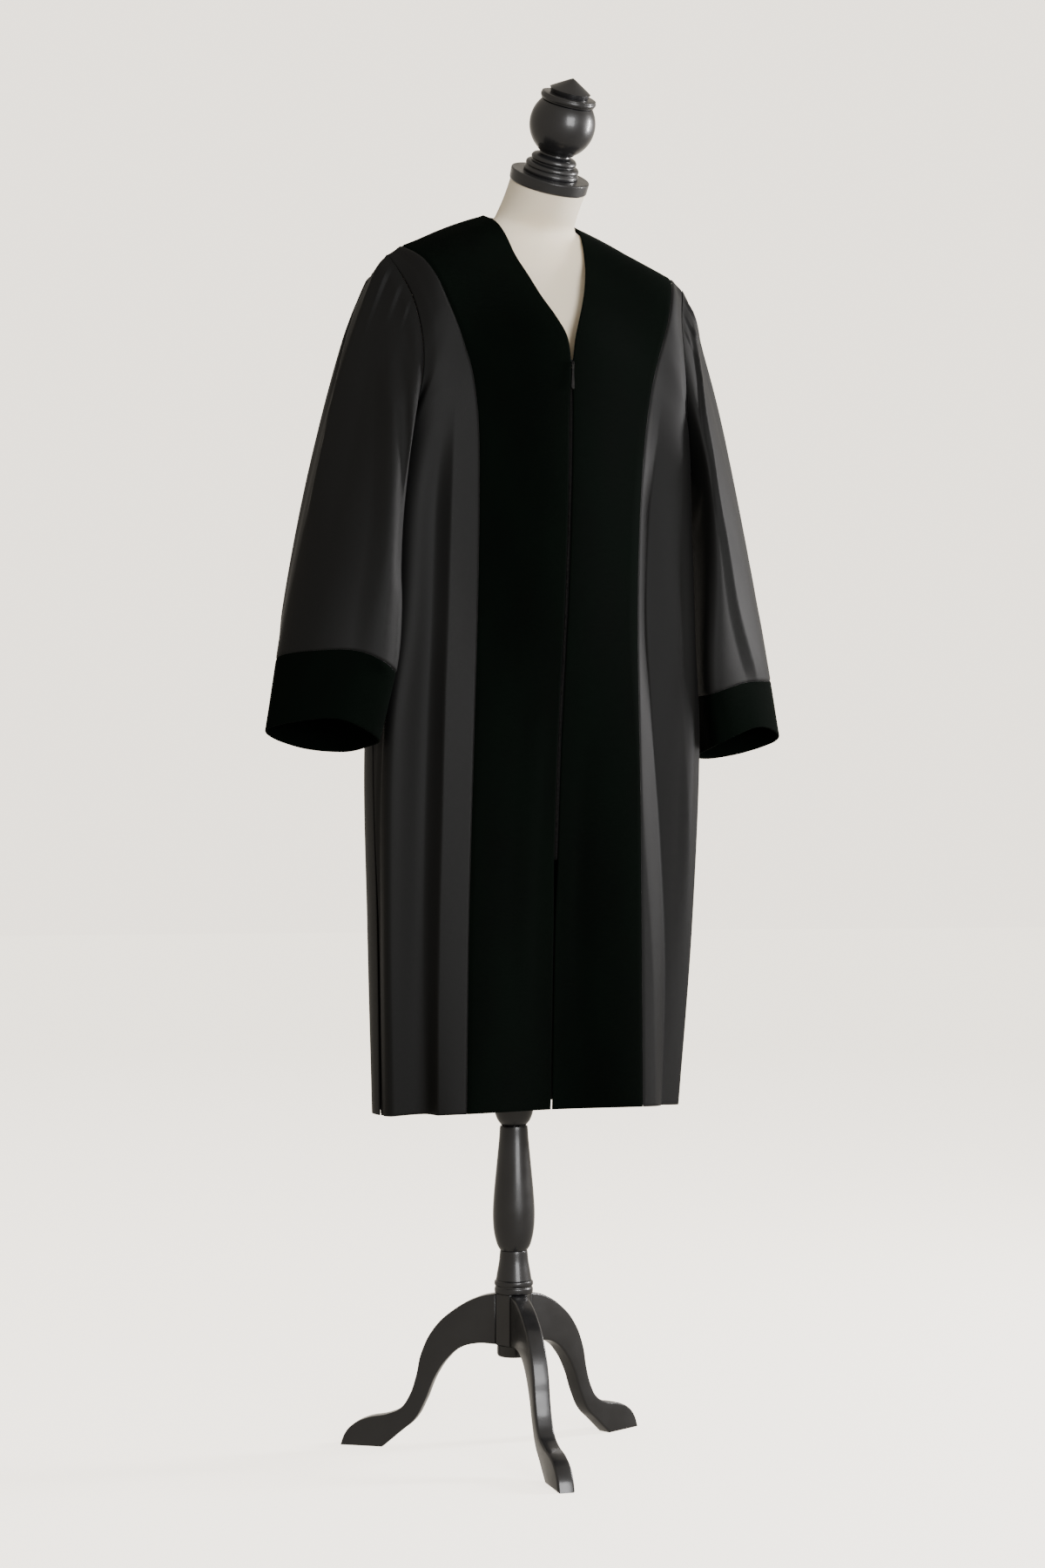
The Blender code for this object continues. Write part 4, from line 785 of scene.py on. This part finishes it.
def back_grid():
    columns = np.linspace(BACK_EDGE_S, -BACK_EDGE_S, BACK_COLUMNS)
    scoop = BACK_NECK_T * np.maximum(1 - (columns / s_at("back", NECK_X, 0.0)) ** 2, 0.0)
    grid = []
    for t in np.linspace(CLOTH_TOP_T, 1.0, BACK_ROWS):
        row = cloth_points("back", columns, t)
        for i in np.nonzero(scoop > 0)[0]:
            own = round(float(scoop[i] + t * (1 - scoop[i])), 7)
            row[i] = cloth_points("back", columns[i:i + 1], own)[0]
        grid.append(row)
    return grid


back = hang_cloth(shell_from_grid("back_cloth", back_grid(), WOOL_WALL, wool),
                  "back")

# ------------ the two side fronts
# Each runs from the shoulder between the velvet band and the armhole, and turns at a soft corner
# under the arm to the side, where it meets the back.

FRONT_ROWS = 240
SIDE_FRONT_COLUMNS = 88
SEAM_DIP = 0.0012
SEAM_DIP_WIDTH = 0.0035
SIDES = (("right", -1), ("left", 1))


def seam_dip(distance):
    """How far a seam draws the cloth in, by the distance from it."""
    return -SEAM_DIP * np.clip(1.0 - distance / SEAM_DIP_WIDTH, 0.0, 1.0) ** 2


def velvet_edges(t):
    """The s of the V's edge or front opening, and of the velvet's outer seam."""
    return s_at("front", along(OPENING, t)[0], t), s_at("front", along(VELVET_SEAM, t)[0], t)


def front_grid(sign, columns, places, dips):
    """Points of a front panel: the s of its two edges by level, and which of them are sewn down."""
    grid = []
    for t in np.linspace(CLOTH_TOP_T, 1.0, FRONT_ROWS).tolist():
        length = half_length("front", t)
        inner, outer = (place + dip * GAP / 2 / length
                        for place, dip in zip(places(t), (dips[0], -dips[1])))
        s = np.linspace(inner, outer, columns)
        dip = dips[0] * seam_dip((s - inner) * length) + dips[1] * seam_dip((outer - s) * length)
        grid.append(cloth_points("front", s * sign, t, -dip))
    return np.array(grid)[:, ::sign]


for side, sign in SIDES:
    grid = front_grid(sign, SIDE_FRONT_COLUMNS, lambda t: (velvet_edges(t)[1], 1.0), (1, 1))
    hang_cloth(shell_from_grid(f"side_front_{side}_cloth", grid, WOOL_WALL, wool),
               f"side_front_{side}")

# ------------ velvet front bands
# Short-pile cotton velvet, deep black, sewn to the side fronts and turned in along the V, the
# zip and the slit.  Its pile stands off the ground cloth and catches light only at a slant.

VELVET_WALL = 0.0022
VELVET_COLUMNS = 40

velvet, weave = new_finish("black velvet", "ShaderNodeUVMap", "UV")
nap = noise(weave, 11.0, 4.0, 0.55, (1.0, 0.5, 1.0))
paint(velvet, ranged(nap), (0.0008, 0.0017, 0.0011), (0.0015, 0.0032, 0.0021),
      ranged(nap, 0.86, 0.97),
      [(noise(weave, 1900.0, 2.0), 0.0003, 0.6), (nap, 0.0012, 0.25)],
      {"Specular IOR Level": 0.03, "Sheen Weight": 0.006, "Sheen Roughness": 0.25,
       "Sheen Tint": (0.58, 0.92, 0.70, 1.0)})

for side, sign in SIDES:
    grid = front_grid(sign, VELVET_COLUMNS, velvet_edges, (0, 1))
    hang_cloth(shell_from_grid(f"velvet_front_{side}_cloth", grid, VELVET_WALL, velvet),
               f"velvet_front_{side}")

# ------------ the zip
# A closed-end zip of blackened brass teeth on woven tape, sewn behind the velvet's edges.  Its
# slider lies behind the fronts at the V's point, and the pull tab hangs from the slider's ring.

TOOTH_PITCH = 0.0027
TOOTH_SIZE = {"Across": 0.0030, "Deep": 0.0016, "Along": 0.0014}
TOOTH_SIDE = 0.0007         # the two rows lie this far to either side of the middle
CHAIN_DEPTH = 0.0021        # of the teeth's middle behind the velvet's face
CHAIN_TOP_T = 0.2160
CHAIN_POINTS = 60


def make_beading(name, material):
    """A node tree that sets small rounded pieces along edges, in turn to either side of them."""
    tree = bpy.data.node_groups.new(name, "GeometryNodeTree")
    tree.interface.new_socket("Geometry", in_out="INPUT", socket_type="NodeSocketGeometry")
    for size in ("Pitch", "Across", "Deep", "Along", "Side"):
        tree.interface.new_socket(size, in_out="INPUT", socket_type="NodeSocketFloat")
    tree.interface.new_socket("Geometry", in_out="OUTPUT", socket_type="NodeSocketGeometry")
    new = partial(add, tree)
    given = tree.nodes.new("NodeGroupInput").outputs
    line = new("GeometryNodeMeshToCurve", "Curve", {"Mesh": given["Geometry"]})
    evenly = new("GeometryNodeResampleCurve", "Curve", {"Curve": line, "Length": given["Pitch"]},
                 mode="LENGTH")
    turned = new("FunctionNodeAlignRotationToVector", "Rotation",
                 {"Vector": new("GeometryNodeInputTangent", "Tangent")}, axis="Z")
    size = new("ShaderNodeCombineXYZ", "Vector",
               {"X": given["Across"], "Y": given["Deep"], "Z": given["Along"]})
    bead = new("GeometryNodeMeshUVSphere", "Mesh", {"Segments": 8, "Rings": 5, "Radius": 0.5})
    placed = new("GeometryNodeInstanceOnPoints", "Instances",
                 {"Points": evenly, "Instance": bead, "Rotation": turned, "Scale": size})
    odd = new("ShaderNodeMath", "Value",
              {0: new("GeometryNodeInputIndex", "Index"), 1: 1.0}, operation="PINGPONG")
    either = new("ShaderNodeMapRange", "Result", {"Value": odd, "To Min": -1.0})
    aside = new("ShaderNodeMath", "Value", {0: either, 1: given["Side"]}, operation="MULTIPLY")
    offset = new("ShaderNodeCombineXYZ", "Vector", {"X": aside})
    moved = new("GeometryNodeTranslateInstances", "Instances",
                {"Instances": placed, "Translation": offset})
    real = new("GeometryNodeRealizeInstances", "Geometry", {"Geometry": moved})
    rounded = new("GeometryNodeSetShadeSmooth", 0, {0: real})
    painted = new("GeometryNodeSetMaterial", "Geometry",
                  {"Geometry": rounded, "Material": material})
    feed(tree, tree.nodes.new("NodeGroupOutput"), {"Geometry": painted})
    return tree


def beaded(name, runs, tree, sizes):
    """Beads along open runs and closed loops of points, as one plain piece."""
    points, edges = [], []
    for run, closed in runs:
        first = len(points)
        points += [tuple(Vector(point) + POLE_AXIS) for point in run]
        edges += [(first + i, first + i + 1) for i in range(len(run) - 1)]
        if closed:
            edges.append((len(points) - 1, first))
    mesh = bpy.data.meshes.new(name)
    mesh.from_pydata(points, edges, [])
    path = link_mesh(f"{name}_path", mesh)
    beads = path.modifiers.new(name, "NODES")
    beads.node_group = tree
    for socket in tree.interface.items_tree:
        if socket.in_out == "INPUT" and socket.name in sizes:
            beads[socket.identifier] = sizes[socket.name]
    return finished(link_mesh(name, plain_mesh_of(path)))


black_brass, place = new_finish("blackened brass")
paint(black_brass, ranged(noise(place, 260.0)), (0.006, 0.006, 0.0062), (0.022, 0.021, 0.020),
      ranged(noise(place, 520.0), 0.34, 0.55),
      [(noise(place, 1400.0, 2.0), 0.00004, 0.4)], {"Metallic": 0.9})

tape_weave, place = new_finish("black woven zip tape")
picks = noise(place, 1600.0, 2.0, 0.5, (0.25, 1.0, 1.0))
paint(tape_weave, ranged(picks), (0.0030, 0.0032, 0.0032), (0.0070, 0.0073, 0.0072), 0.9,
      [(picks, 0.0002, 0.6)], {"Specular IOR Level": 0.15})

for node, metal_or_tape in (("zip_tape_left", tape_weave), ("zip_tape_right", tape_weave),
                            ("zip_slider", black_brass), ("zip_pull", black_brass)):
    for material_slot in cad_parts[node].material_slots:
        material_slot.material = metal_or_tape

chain = [plain_points("front", np.array([0.0]), t)[0] + (0, CHAIN_DEPTH, 0)
         for t in spread(ZIP_END_T, CHAIN_TOP_T, CHAIN_POINTS)]
beaded("zip_teeth", [(chain, False)], make_beading("zip teeth", black_brass),
       {"Pitch": TOOTH_PITCH / 2, "Side": TOOTH_SIDE, **TOOTH_SIZE})

# ------------ the sleeves
# Bell sleeves of the same wool.  The head is laid in three knife pleats on the shoulder and two
# behind it, which open into long soft folds, and the end is sewn to a band of velvet.

# Seams round the arm: turn from the top by way of the front, x, y, then z at the right and left.
CUFF_TOP = [
    (0, 0.371, -0.062, 1.069, 1.065), (0.13, 0.344, -0.11, 1.073, 1.059),
    (0.26, 0.29, -0.138, 1.072, 1.053), (0.39, 0.238, -0.136, 1.048, 1.036),
    (0.5, 0.242, -0.084, 1.042, 1.036), (0.62, 0.256, -0.028, 1.042, 1.042),
    (0.76, 0.302, 0.002, 1.05, 1.05), (0.89, 0.351, -0.016, 1.062, 1.062),
]
CUFF_BOTTOM = [
    (0, 0.387, -0.06, 0.974, 0.978), (0.13, 0.361, -0.106, 0.982, 0.988),
    (0.26, 0.312, -0.133, 0.984, 0.992), (0.39, 0.257, -0.126, 0.96, 0.969),
    (0.5, 0.256, -0.083, 0.952, 0.96), (0.62, 0.267, -0.034, 0.948, 0.954),
    (0.76, 0.312, -0.01, 0.952, 0.954), (0.89, 0.362, -0.02, 0.964, 0.964),
]
# Pleats of the head: turn, width, depth, and the reach down the sleeve where each has opened.
PLEATS = [
    (0.03, 0.04, 0.004, 0.26), (0.075, 0.034, 0.0034, 0.18), (0.118, 0.034, 0.0028, 0.14),
    (-0.05, 0.05, 0.008, 0.45), (-0.11, 0.05, 0.007, 0.3),
]
PLEAT_DROP = 0.25           # a pleat's quick side as a share of its slow one
SLEEVE_SET_OUT = 0.0005
SLEEVE_ROOT = 0.06
SLEEVE_TAIL = 0.080
# Which way and how far the cloth leaves the armhole: turn, x, y and z.
SLEEVE_LEAD = [
    (0, 0.062, 0, -0.1), (0.13, 0.05, -0.02, -0.108), (0.25, 0.034, -0.034, -0.11),
    (0.39, 0.038, -0.036, -0.084), (0.5, 0.042, -0.014, -0.05), (0.62, 0.036, 0.022, -0.076),
    (0.75, 0.04, 0.024, -0.1), (0.89, 0.066, 0.014, -0.096),
]

# Long folds of a sleeve: side, turn round the arm at a few reaches down it, the reaches where
# they start and end, widths in turns on either side, depth, form.  A positive depth is a ridge.
HANGS = [
    # the wearer's right: a pleat's edge down the outside, a valley in front, the fullness below
    (-1, ((0.02, 0.002), (0.1, -0.032), (0.21, -0.032), (0.35, -0.008), (0.49, 0.006), (0.62,
     0.008)), 0, 0.66, 0.012, 0.09, 0.005, "creased"),
    (-1, ((0.08, 0.15), (0.18, 0.165), (0.29, 0.242), (0.48, 0.325), (0.6, 0.35)), 0.04, 0.72, 0.08,
     0.08, -0.0026, "soft"),
    (-1, ((0.27, 0.17), (0.45, 0.238), (0.63, 0.283), (0.8, 0.297), (1, 0.315)), 0.18, 1.2, 0.08,
     0.06, 0.005, "soft"),
    # the wearer's left: one long fold edge from the shoulder to the cuff
    (1, ((0.02, 0.045), (0.067, 0.06), (0.12, 0.133), (0.167, 0.208), (0.26, 0.238), (0.36, 0.262),
     (0.5, 0.254), (0.68, 0.248), (0.86, 0.225), (1, 0.21)), 0, 1.1, 0.15, 0.04, 0.0062, "creased"),
    (1, ((0.02, 0), (0.3, 0.02), (0.7, 0.06)), 0, 0.8, 0.03, 0.03, -0.003, "soft"),
    # behind, on both sides
    (0, ((0.1, 0.925), (0.96, 0.9)), 0.1, 0.98, 0.03, 0.05, 0.0045, "soft"),
    (0, ((0.06, 0.855), (0.9, 0.82)), 0.06, 0.9, 0.045, 0.03, -0.005, "soft"),
    (0, ((0.16, 0.77), (1, 0.74)), 0.16, 1.1, 0.045, 0.045, 0.0045, "soft"),
    (0, ((0.1, 0.685), (0.8, 0.67)), 0.1, 0.8, 0.05, 0.035, -0.0035, "soft"),
]
# Short creases in the bend: side, turn and reach of the one end and of the other, width, depth.
NIPS = [
    (-1, 0.38, 0.14, 0.46, 0.32, 0.02, -0.0016), (1, 0.38, 0.2, 0.46, 0.36, 0.016, -0.0014),
    (1, 0.6, 0.2, 0.54, 0.4, 0.015, -0.0024), (-1, 0.62, 0.18, 0.55, 0.38, 0.015, -0.0024),
]
HANG_FADE = (0.12, 0.20)    # shares of a long fold that its start and its end take to fade
NIP_FADE = 0.35
SLEEVE_ROWS = 120
SLEEVE_COLUMNS = 168
SLEEVE_GIRTH = 0.38         # about the mean distance round a sleeve
SLEEVE_DROP = 0.50          # from the shoulder to the cuff's seam
SLEEVE_ROW_POWER = 1.15     # above 1 draws the rows closer at the shoulder
SLEEVE_END = 0.9994         # reach of the sleeve's last row before the cuff's seam
ALLOWANCE_START = 1.004     # the seam allowance runs inside the cuff, between these reaches
ALLOWANCE_END = 1.040
ALLOWANCE_DEPTH = 0.0032


def around(rings, turn):
    """The columns of a table that closes round the arm."""
    before = (rings[-1][0] - 1, *rings[-1][1:])
    after = [(row[0] + 1, *row[1:]) for row in rings[:2]]
    return along([before, *rings, *after], turn % 1.0)


def armhole_point(turn):
    if turn <= 0.5:
        return side_edge("front", UNDERARM_T * turn * 2)
    return side_edge("back", UNDERARM_T * (1 - turn) * 2)


def arm_column(sign, turn):
    """The guides of a sleeve's line: its start, its two pulls and its end, and the cuff's end."""
    turn %= 1.0
    top, bottom = (Vector((x, y, z_right if sign < 0 else z_left))
                   for x, y, z_right, z_left in (around(CUFF_TOP, turn), around(CUFF_BOTTOM, turn)))
    start = armhole_point(turn) + Vector((SLEEVE_SET_OUT, 0, 0))
    tail = (top - bottom).normalized() * SLEEVE_TAIL
    return [np.array(v) for v in (start, start + Vector(around(SLEEVE_LEAD, turn)), top + tail,
                                  top, bottom)]


def turned_from(place, turn):
    """The turn from a place the short way round the arm."""
    return (turn - place + 0.5) % 1.0 - 0.5


def pleat_heights(turn, reach):
    """The knife pleats of the sleeve head: a slow rise to the folded edge and a quick drop."""
    height = np.zeros(np.broadcast(turn, reach).shape)
    for place, width, depth, opened in PLEATS:
        offset = turned_from(place, turn)
        drop = width * PLEAT_DROP
        profile = np.where(offset <= 0, 1 + offset / width, 1 - offset / drop)
        profile = np.where((offset > -width) & (offset < drop), profile, 0.0)
        height += depth * profile * (1 - smooth(reach / opened))
    return height * smooth(reach / SLEEVE_ROOT)


def hang_heights(sign, turn, reach):
    """How far the long folds and the short creases move a sleeve's cloth outwards."""
    height = np.zeros(np.broadcast(turn, reach).shape)
    for side, path, start, end, near, far, depth, form in HANGS:
        if side * sign >= 0:
            share = (reach - start) / (end - start)
            place = np.array([path_place(path, float(level)) for level in reach[:, 0]])[:, None]
            ends = smooth(share / HANG_FADE[0]) * smooth((1.0 - share) / HANG_FADE[1])
            height += depth * ends * bump(turned_from(place, turn), near, far, form)
    for side, nip_turn, nip_reach, turn_end, reach_end, width, depth in NIPS:
        if side * sign >= 0:
            run = Vector(((turn_end - nip_turn) * SLEEVE_GIRTH,
                          (reach_end - nip_reach) * SLEEVE_DROP))
            height += depth * crease_rise((turn - nip_turn) * SLEEVE_GIRTH,
                                          (reach - nip_reach) * SLEEVE_DROP, run, 0.0, NIP_FADE,
                                          width, width)
    return height


def arm_grids(sign, turns, reaches):
    """Points and outward directions of a sleeve and its cuff, on the wearer's left."""
    columns = zip(*(arm_column(sign, turn) for turn in turns))
    start, near, far, top, bottom = (np.stack(column) for column in columns)
    f = np.minimum(reaches, 1.0)[:, None, None]
    g = 1.0 - f
    grid = start * g ** 3 + near * 3 * g * g * f + far * 3 * g * f * f + top * f ** 3
    past = np.maximum(reaches - 1.0, 0.0)[:, None, None]
    grid = np.where(past > 0, top + (bottom - top) * past, grid)
    around_arm = np.roll(grid, -1, axis=1) - np.roll(grid, 1, axis=1)
    normal = unit(np.cross(around_arm, np.gradient(grid, axis=0)))
    centre = np.array((armhole_point(0.0) + armhole_point(0.5)) / 2)
    radial = np.stack([np.array(armhole_point(turn)) for turn in turns]) - centre
    radial[:, 0] = 0.0
    turned_out = smooth(reaches / SLEEVE_ROOT)[:, None, None]
    return grid, unit(unit(radial) * (1 - turned_out) + normal * turned_out)


def sleeve_turns():
    """Even turns, drawn closer at the folded edges of the pleats."""
    turns = set(np.round(np.linspace(0, 1, SLEEVE_COLUMNS, endpoint=False), 4))
    for place, width, *_ in PLEATS:
        turns.update(round((place + offset * width * PLEAT_DROP) % 1.0, 4)
                     for offset in (0.0, 0.25, 0.5, 0.75, 1.0))
    return np.array(sorted(turns))


def arm_cloth(name, sign, reaches, wall, material):
    """A tube of the sleeve's cloth or of its cuff; a sleeve's end is tucked into the cuff."""
    turns = sleeve_turns()
    grid, normal = arm_grids(sign, turns, reaches)
    spans, rounds = reaches[:, None], turns[None, :]
    height = pleat_heights(rounds, spans) + hang_heights(sign, rounds, spans)
    height = height + seam_dip(np.abs(spans - 1.0) * SLEEVE_DROP)
    if reaches[0] < 1.0:
        height = height - np.where(spans > 1.0, ALLOWANCE_DEPTH, 0.0)
    grid = (grid + normal * height[..., None]) * (sign, 1, 1)
    return shell_from_grid(name, grid[:, ::-sign], wall, material, closed=True)


for side, sign in SIDES:
    reaches = np.append(np.linspace(0.0, SLEEVE_END, SLEEVE_ROWS) ** SLEEVE_ROW_POWER,
                        (ALLOWANCE_START, ALLOWANCE_END))
    hang_cloth(arm_cloth(f"sleeve_{side}_cloth", sign, reaches, WOOL_WALL, wool),
               f"sleeve_{side}")

# ------------ the cuffs
# A straight band of the front's velvet, doubled and sewn to the sleeve's end, about 90 mm deep.
# It stands a little stiffer than the sleeve and turns in at its lower edge.

CUFF_WALL = 0.0028
CUFF_ROWS = 24
CUFF_START = 1.0012         # reach of the cuff's first row, just past its seam

for side, sign in SIDES:
    reaches = np.linspace(CUFF_START, 2.0, CUFF_ROWS)
    hang_cloth(arm_cloth(f"cuff_{side}_cloth", sign, reaches, CUFF_WALL, velvet),
               f"cuff_{side}")

# ------------ the seams' binding
# A narrow tape of the wool is sewn over the allowances inside each long seam of the body.  It
# closes the seams behind the velvet and at the sides down to the hem.

BINDING_WIDTH = 0.012
BINDING_WALL = 0.0005
BINDING_DEPTH = 0.0040      # behind the face of the cloth
BINDING_ROWS = 160
BINDING_TOP_T = 0.004
BINDING_END_T = 0.9985
UNDER_ARM_REST = 0.012      # the side's binding starts this share of the length below the underarm


def velvet_binding(sign, t):
    half_width = BINDING_WIDTH / half_length("front", t) / 2
    s = sign * (velvet_edges(t)[1] + np.array([-1, 0, 1]) * half_width)
    return cloth_points("front", s, t, BINDING_DEPTH)


def side_binding(sign, t):
    front_edge, back_edge = (
        cloth_points(face, [sign * (1.0 - BINDING_WIDTH / 2 / half_length(face, t))], t,
                     BINDING_DEPTH)[0] for face in ("front", "back"))
    return np.array([front_edge, (front_edge + back_edge) / 2, back_edge])


for side, sign in SIDES:
    for seam, rule, top_t in (("velvet", velvet_binding, BINDING_TOP_T),
                              ("side", side_binding, UNDERARM_T + UNDER_ARM_REST)):
        grid = np.array([rule(sign, t) for t in spread(top_t, BINDING_END_T, BINDING_ROWS)])
        hang_cloth(shell_from_grid(f"{seam}_seam_binding_{side}", grid[:, ::sign], BINDING_WALL,
                                   wool))

# ------------ the seams' thread
# Black silk thread lies in the ditch of every seam that joins two pieces: beside the velvet, round
# the armholes and along the cuffs.

STITCH_PITCH = 0.0026
STITCH_LENGTH = 0.0022
THREAD_THICKNESS = 0.00050
DITCH_DEPTH = 0.0011
STITCH_POINTS = 240
STITCH_TOP_T = 0.002
STITCH_END_T = 0.999

silk, place = new_finish("black silk thread")
paint(silk, ranged(noise(place, 700.0)), (0.004, 0.004, 0.004), (0.010, 0.010, 0.010),
      0.5, [(noise(place, 3000.0, 2.0), 0.0001, 0.5)], {})

turns = np.array(spread(0.0, 1.0, STITCH_POINTS)[:-1])
runs = []
for sign in (-1, 1):
    beside_velvet = [cloth_points("front", [sign * velvet_edges(t)[1]], t, DITCH_DEPTH)[0]
                     for t in spread(STITCH_TOP_T, STITCH_END_T, STITCH_POINTS)]
    armhole = [np.array(armhole_point(turn)) + (SLEEVE_SET_OUT / 2, 0, 0) for turn in turns]
    grid, normal = arm_grids(sign, turns, np.array([0.98, 1.0]))
    height = hang_heights(sign, turns[None, :], np.array([[1.0]]))[0] - DITCH_DEPTH
    wrist = grid[1] + normal[1] * height[:, None]
    runs += [(beside_velvet, False), (np.array(armhole) * (sign, 1, 1), True),
             (wrist * (sign, 1, 1), True)]
beaded("seam_thread", runs, make_beading("seam stitches", silk),
       {"Pitch": STITCH_PITCH, "Across": THREAD_THICKNESS, "Deep": THREAD_THICKNESS,
        "Along": STITCH_LENGTH, "Side": 0.0})

# ------------ studio and camera
# A white studio: a pale floor that runs into a bright wall behind the stand, a soft light in
# front, a tall strip light at the wearer's left, and the camera a little below the chest.

DISTANCE = 3.5
CAMERA_HEIGHT = 0.765
CAMERA_AZIMUTH = math.radians(-26.5)
CAMERA_PITCH = math.radians(2.41)
CAMERA_AIM = math.radians(0.196)    # to the right of the pole
LENS = 58.34
WHITE = (1.0, 0.920, 0.800, 1.0)
WALL_SEEN = 2.70            # brightness of the white wall as it is seen
WALL_LIGHT = 1.30           # and as it lights the stand from behind
WALL_RIM = (0.74, 0.98)     # cosines from straight ahead, at the wall's rim and at its full light
ROOM_RIGHT = 0.52           # the room at the wearer's right
ROOM_LEFT = 0.50            # and at their left
ROOM_SPREAD = 0.8           # how far to the sides the room's two tones lie
FLOOR_SIZE = 80.0
FLOOR_GLOW = 2.85
FLOOR_GLOW_FAR = 2.42       # where the floor runs into the wall
FLOOR_FADE = (2.0, 9.0)     # distances between which the glow falls off

floor_paint, place = new_finish("pale studio floor")
reach = add(floor_paint.node_tree, "ShaderNodeVectorMath", "Value", {0: place}, operation="LENGTH")
paint(floor_paint, ranged(noise(place, 0.8)), (0.78, 0.76, 0.735), (0.80, 0.78, 0.755), 0.9,
      [], {"Specular IOR Level": 0.0, "Emission Color": WHITE,
           "Emission Strength": ranged(reach, FLOOR_GLOW, FLOOR_GLOW_FAR, *FLOOR_FADE)})
bpy.ops.mesh.primitive_plane_add(size=FLOOR_SIZE, location=(0, 0, cad_low[2]))
floor = bpy.context.object
floor.name = "studio_floor"
floor.data.materials.append(floor_paint)
floor.visible_diffuse = False
floor.visible_glossy = False

world = bpy.data.worlds.new("studio")
bpy.context.scene.world = world
world.use_nodes = True
tree = world.node_tree
direction = add(tree, "ShaderNodeTexCoord", "Generated")
forward = (-math.sin(CAMERA_AZIMUTH), math.cos(CAMERA_AZIMUTH), 0.0)
towards_wall = add(tree, "ShaderNodeVectorMath", "Value", {0: direction, 1: forward},
                   operation="DOT_PRODUCT")
sideways = add(tree, "ShaderNodeSeparateXYZ", "X", {"Vector": direction})
room = ranged(sideways, ROOM_RIGHT, ROOM_LEFT, -ROOM_SPREAD, ROOM_SPREAD)
wall = ranged(towards_wall, room, WALL_LIGHT, *WALL_RIM)
camera_ray = add(tree, "ShaderNodeLightPath", "Is Camera Ray")
seen = add(tree, "ShaderNodeMix", "Result", {"A": wall, "B": WALL_SEEN, "Factor": camera_ray})
feed(tree, tree.nodes["Background"], {"Color": WHITE, "Strength": seen})

for name, place, aim, size, power, colour in (
        ("front light", (0.10, -3.2, 1.40), (0, 0, 1.2), (1.4, 1.5), 92.0, (0.985, 0.985, 1.0)),
        ("strip light", (3.2, -0.70, 1.85), (0, 0, 1.3), (0.4, 1.3), 165.0, (1.0, 0.975, 0.980))):
    light = bpy.data.lights.new(name, "AREA")
    light.shape = "RECTANGLE"
    light.size, light.size_y = size
    light.energy = power
    light.color = colour
    box = bpy.data.objects.new(name, light)
    bpy.context.scene.collection.objects.link(box)
    box.location = place
    box.rotation_euler = (Vector(aim) - Vector(place)).to_track_quat("-Z", "Y").to_euler()

camera_data = bpy.data.cameras.new("camera")
camera_data.lens = LENS
camera = bpy.data.objects.new("camera", camera_data)
bpy.context.scene.collection.objects.link(camera)
camera.location = POLE_AXIS + Vector((DISTANCE * math.sin(CAMERA_AZIMUTH),
                                      -DISTANCE * math.cos(CAMERA_AZIMUTH), CAMERA_HEIGHT))
camera.rotation_euler = (math.pi / 2 + CAMERA_PITCH, 0, CAMERA_AZIMUTH - CAMERA_AIM)
bpy.context.scene.camera = camera
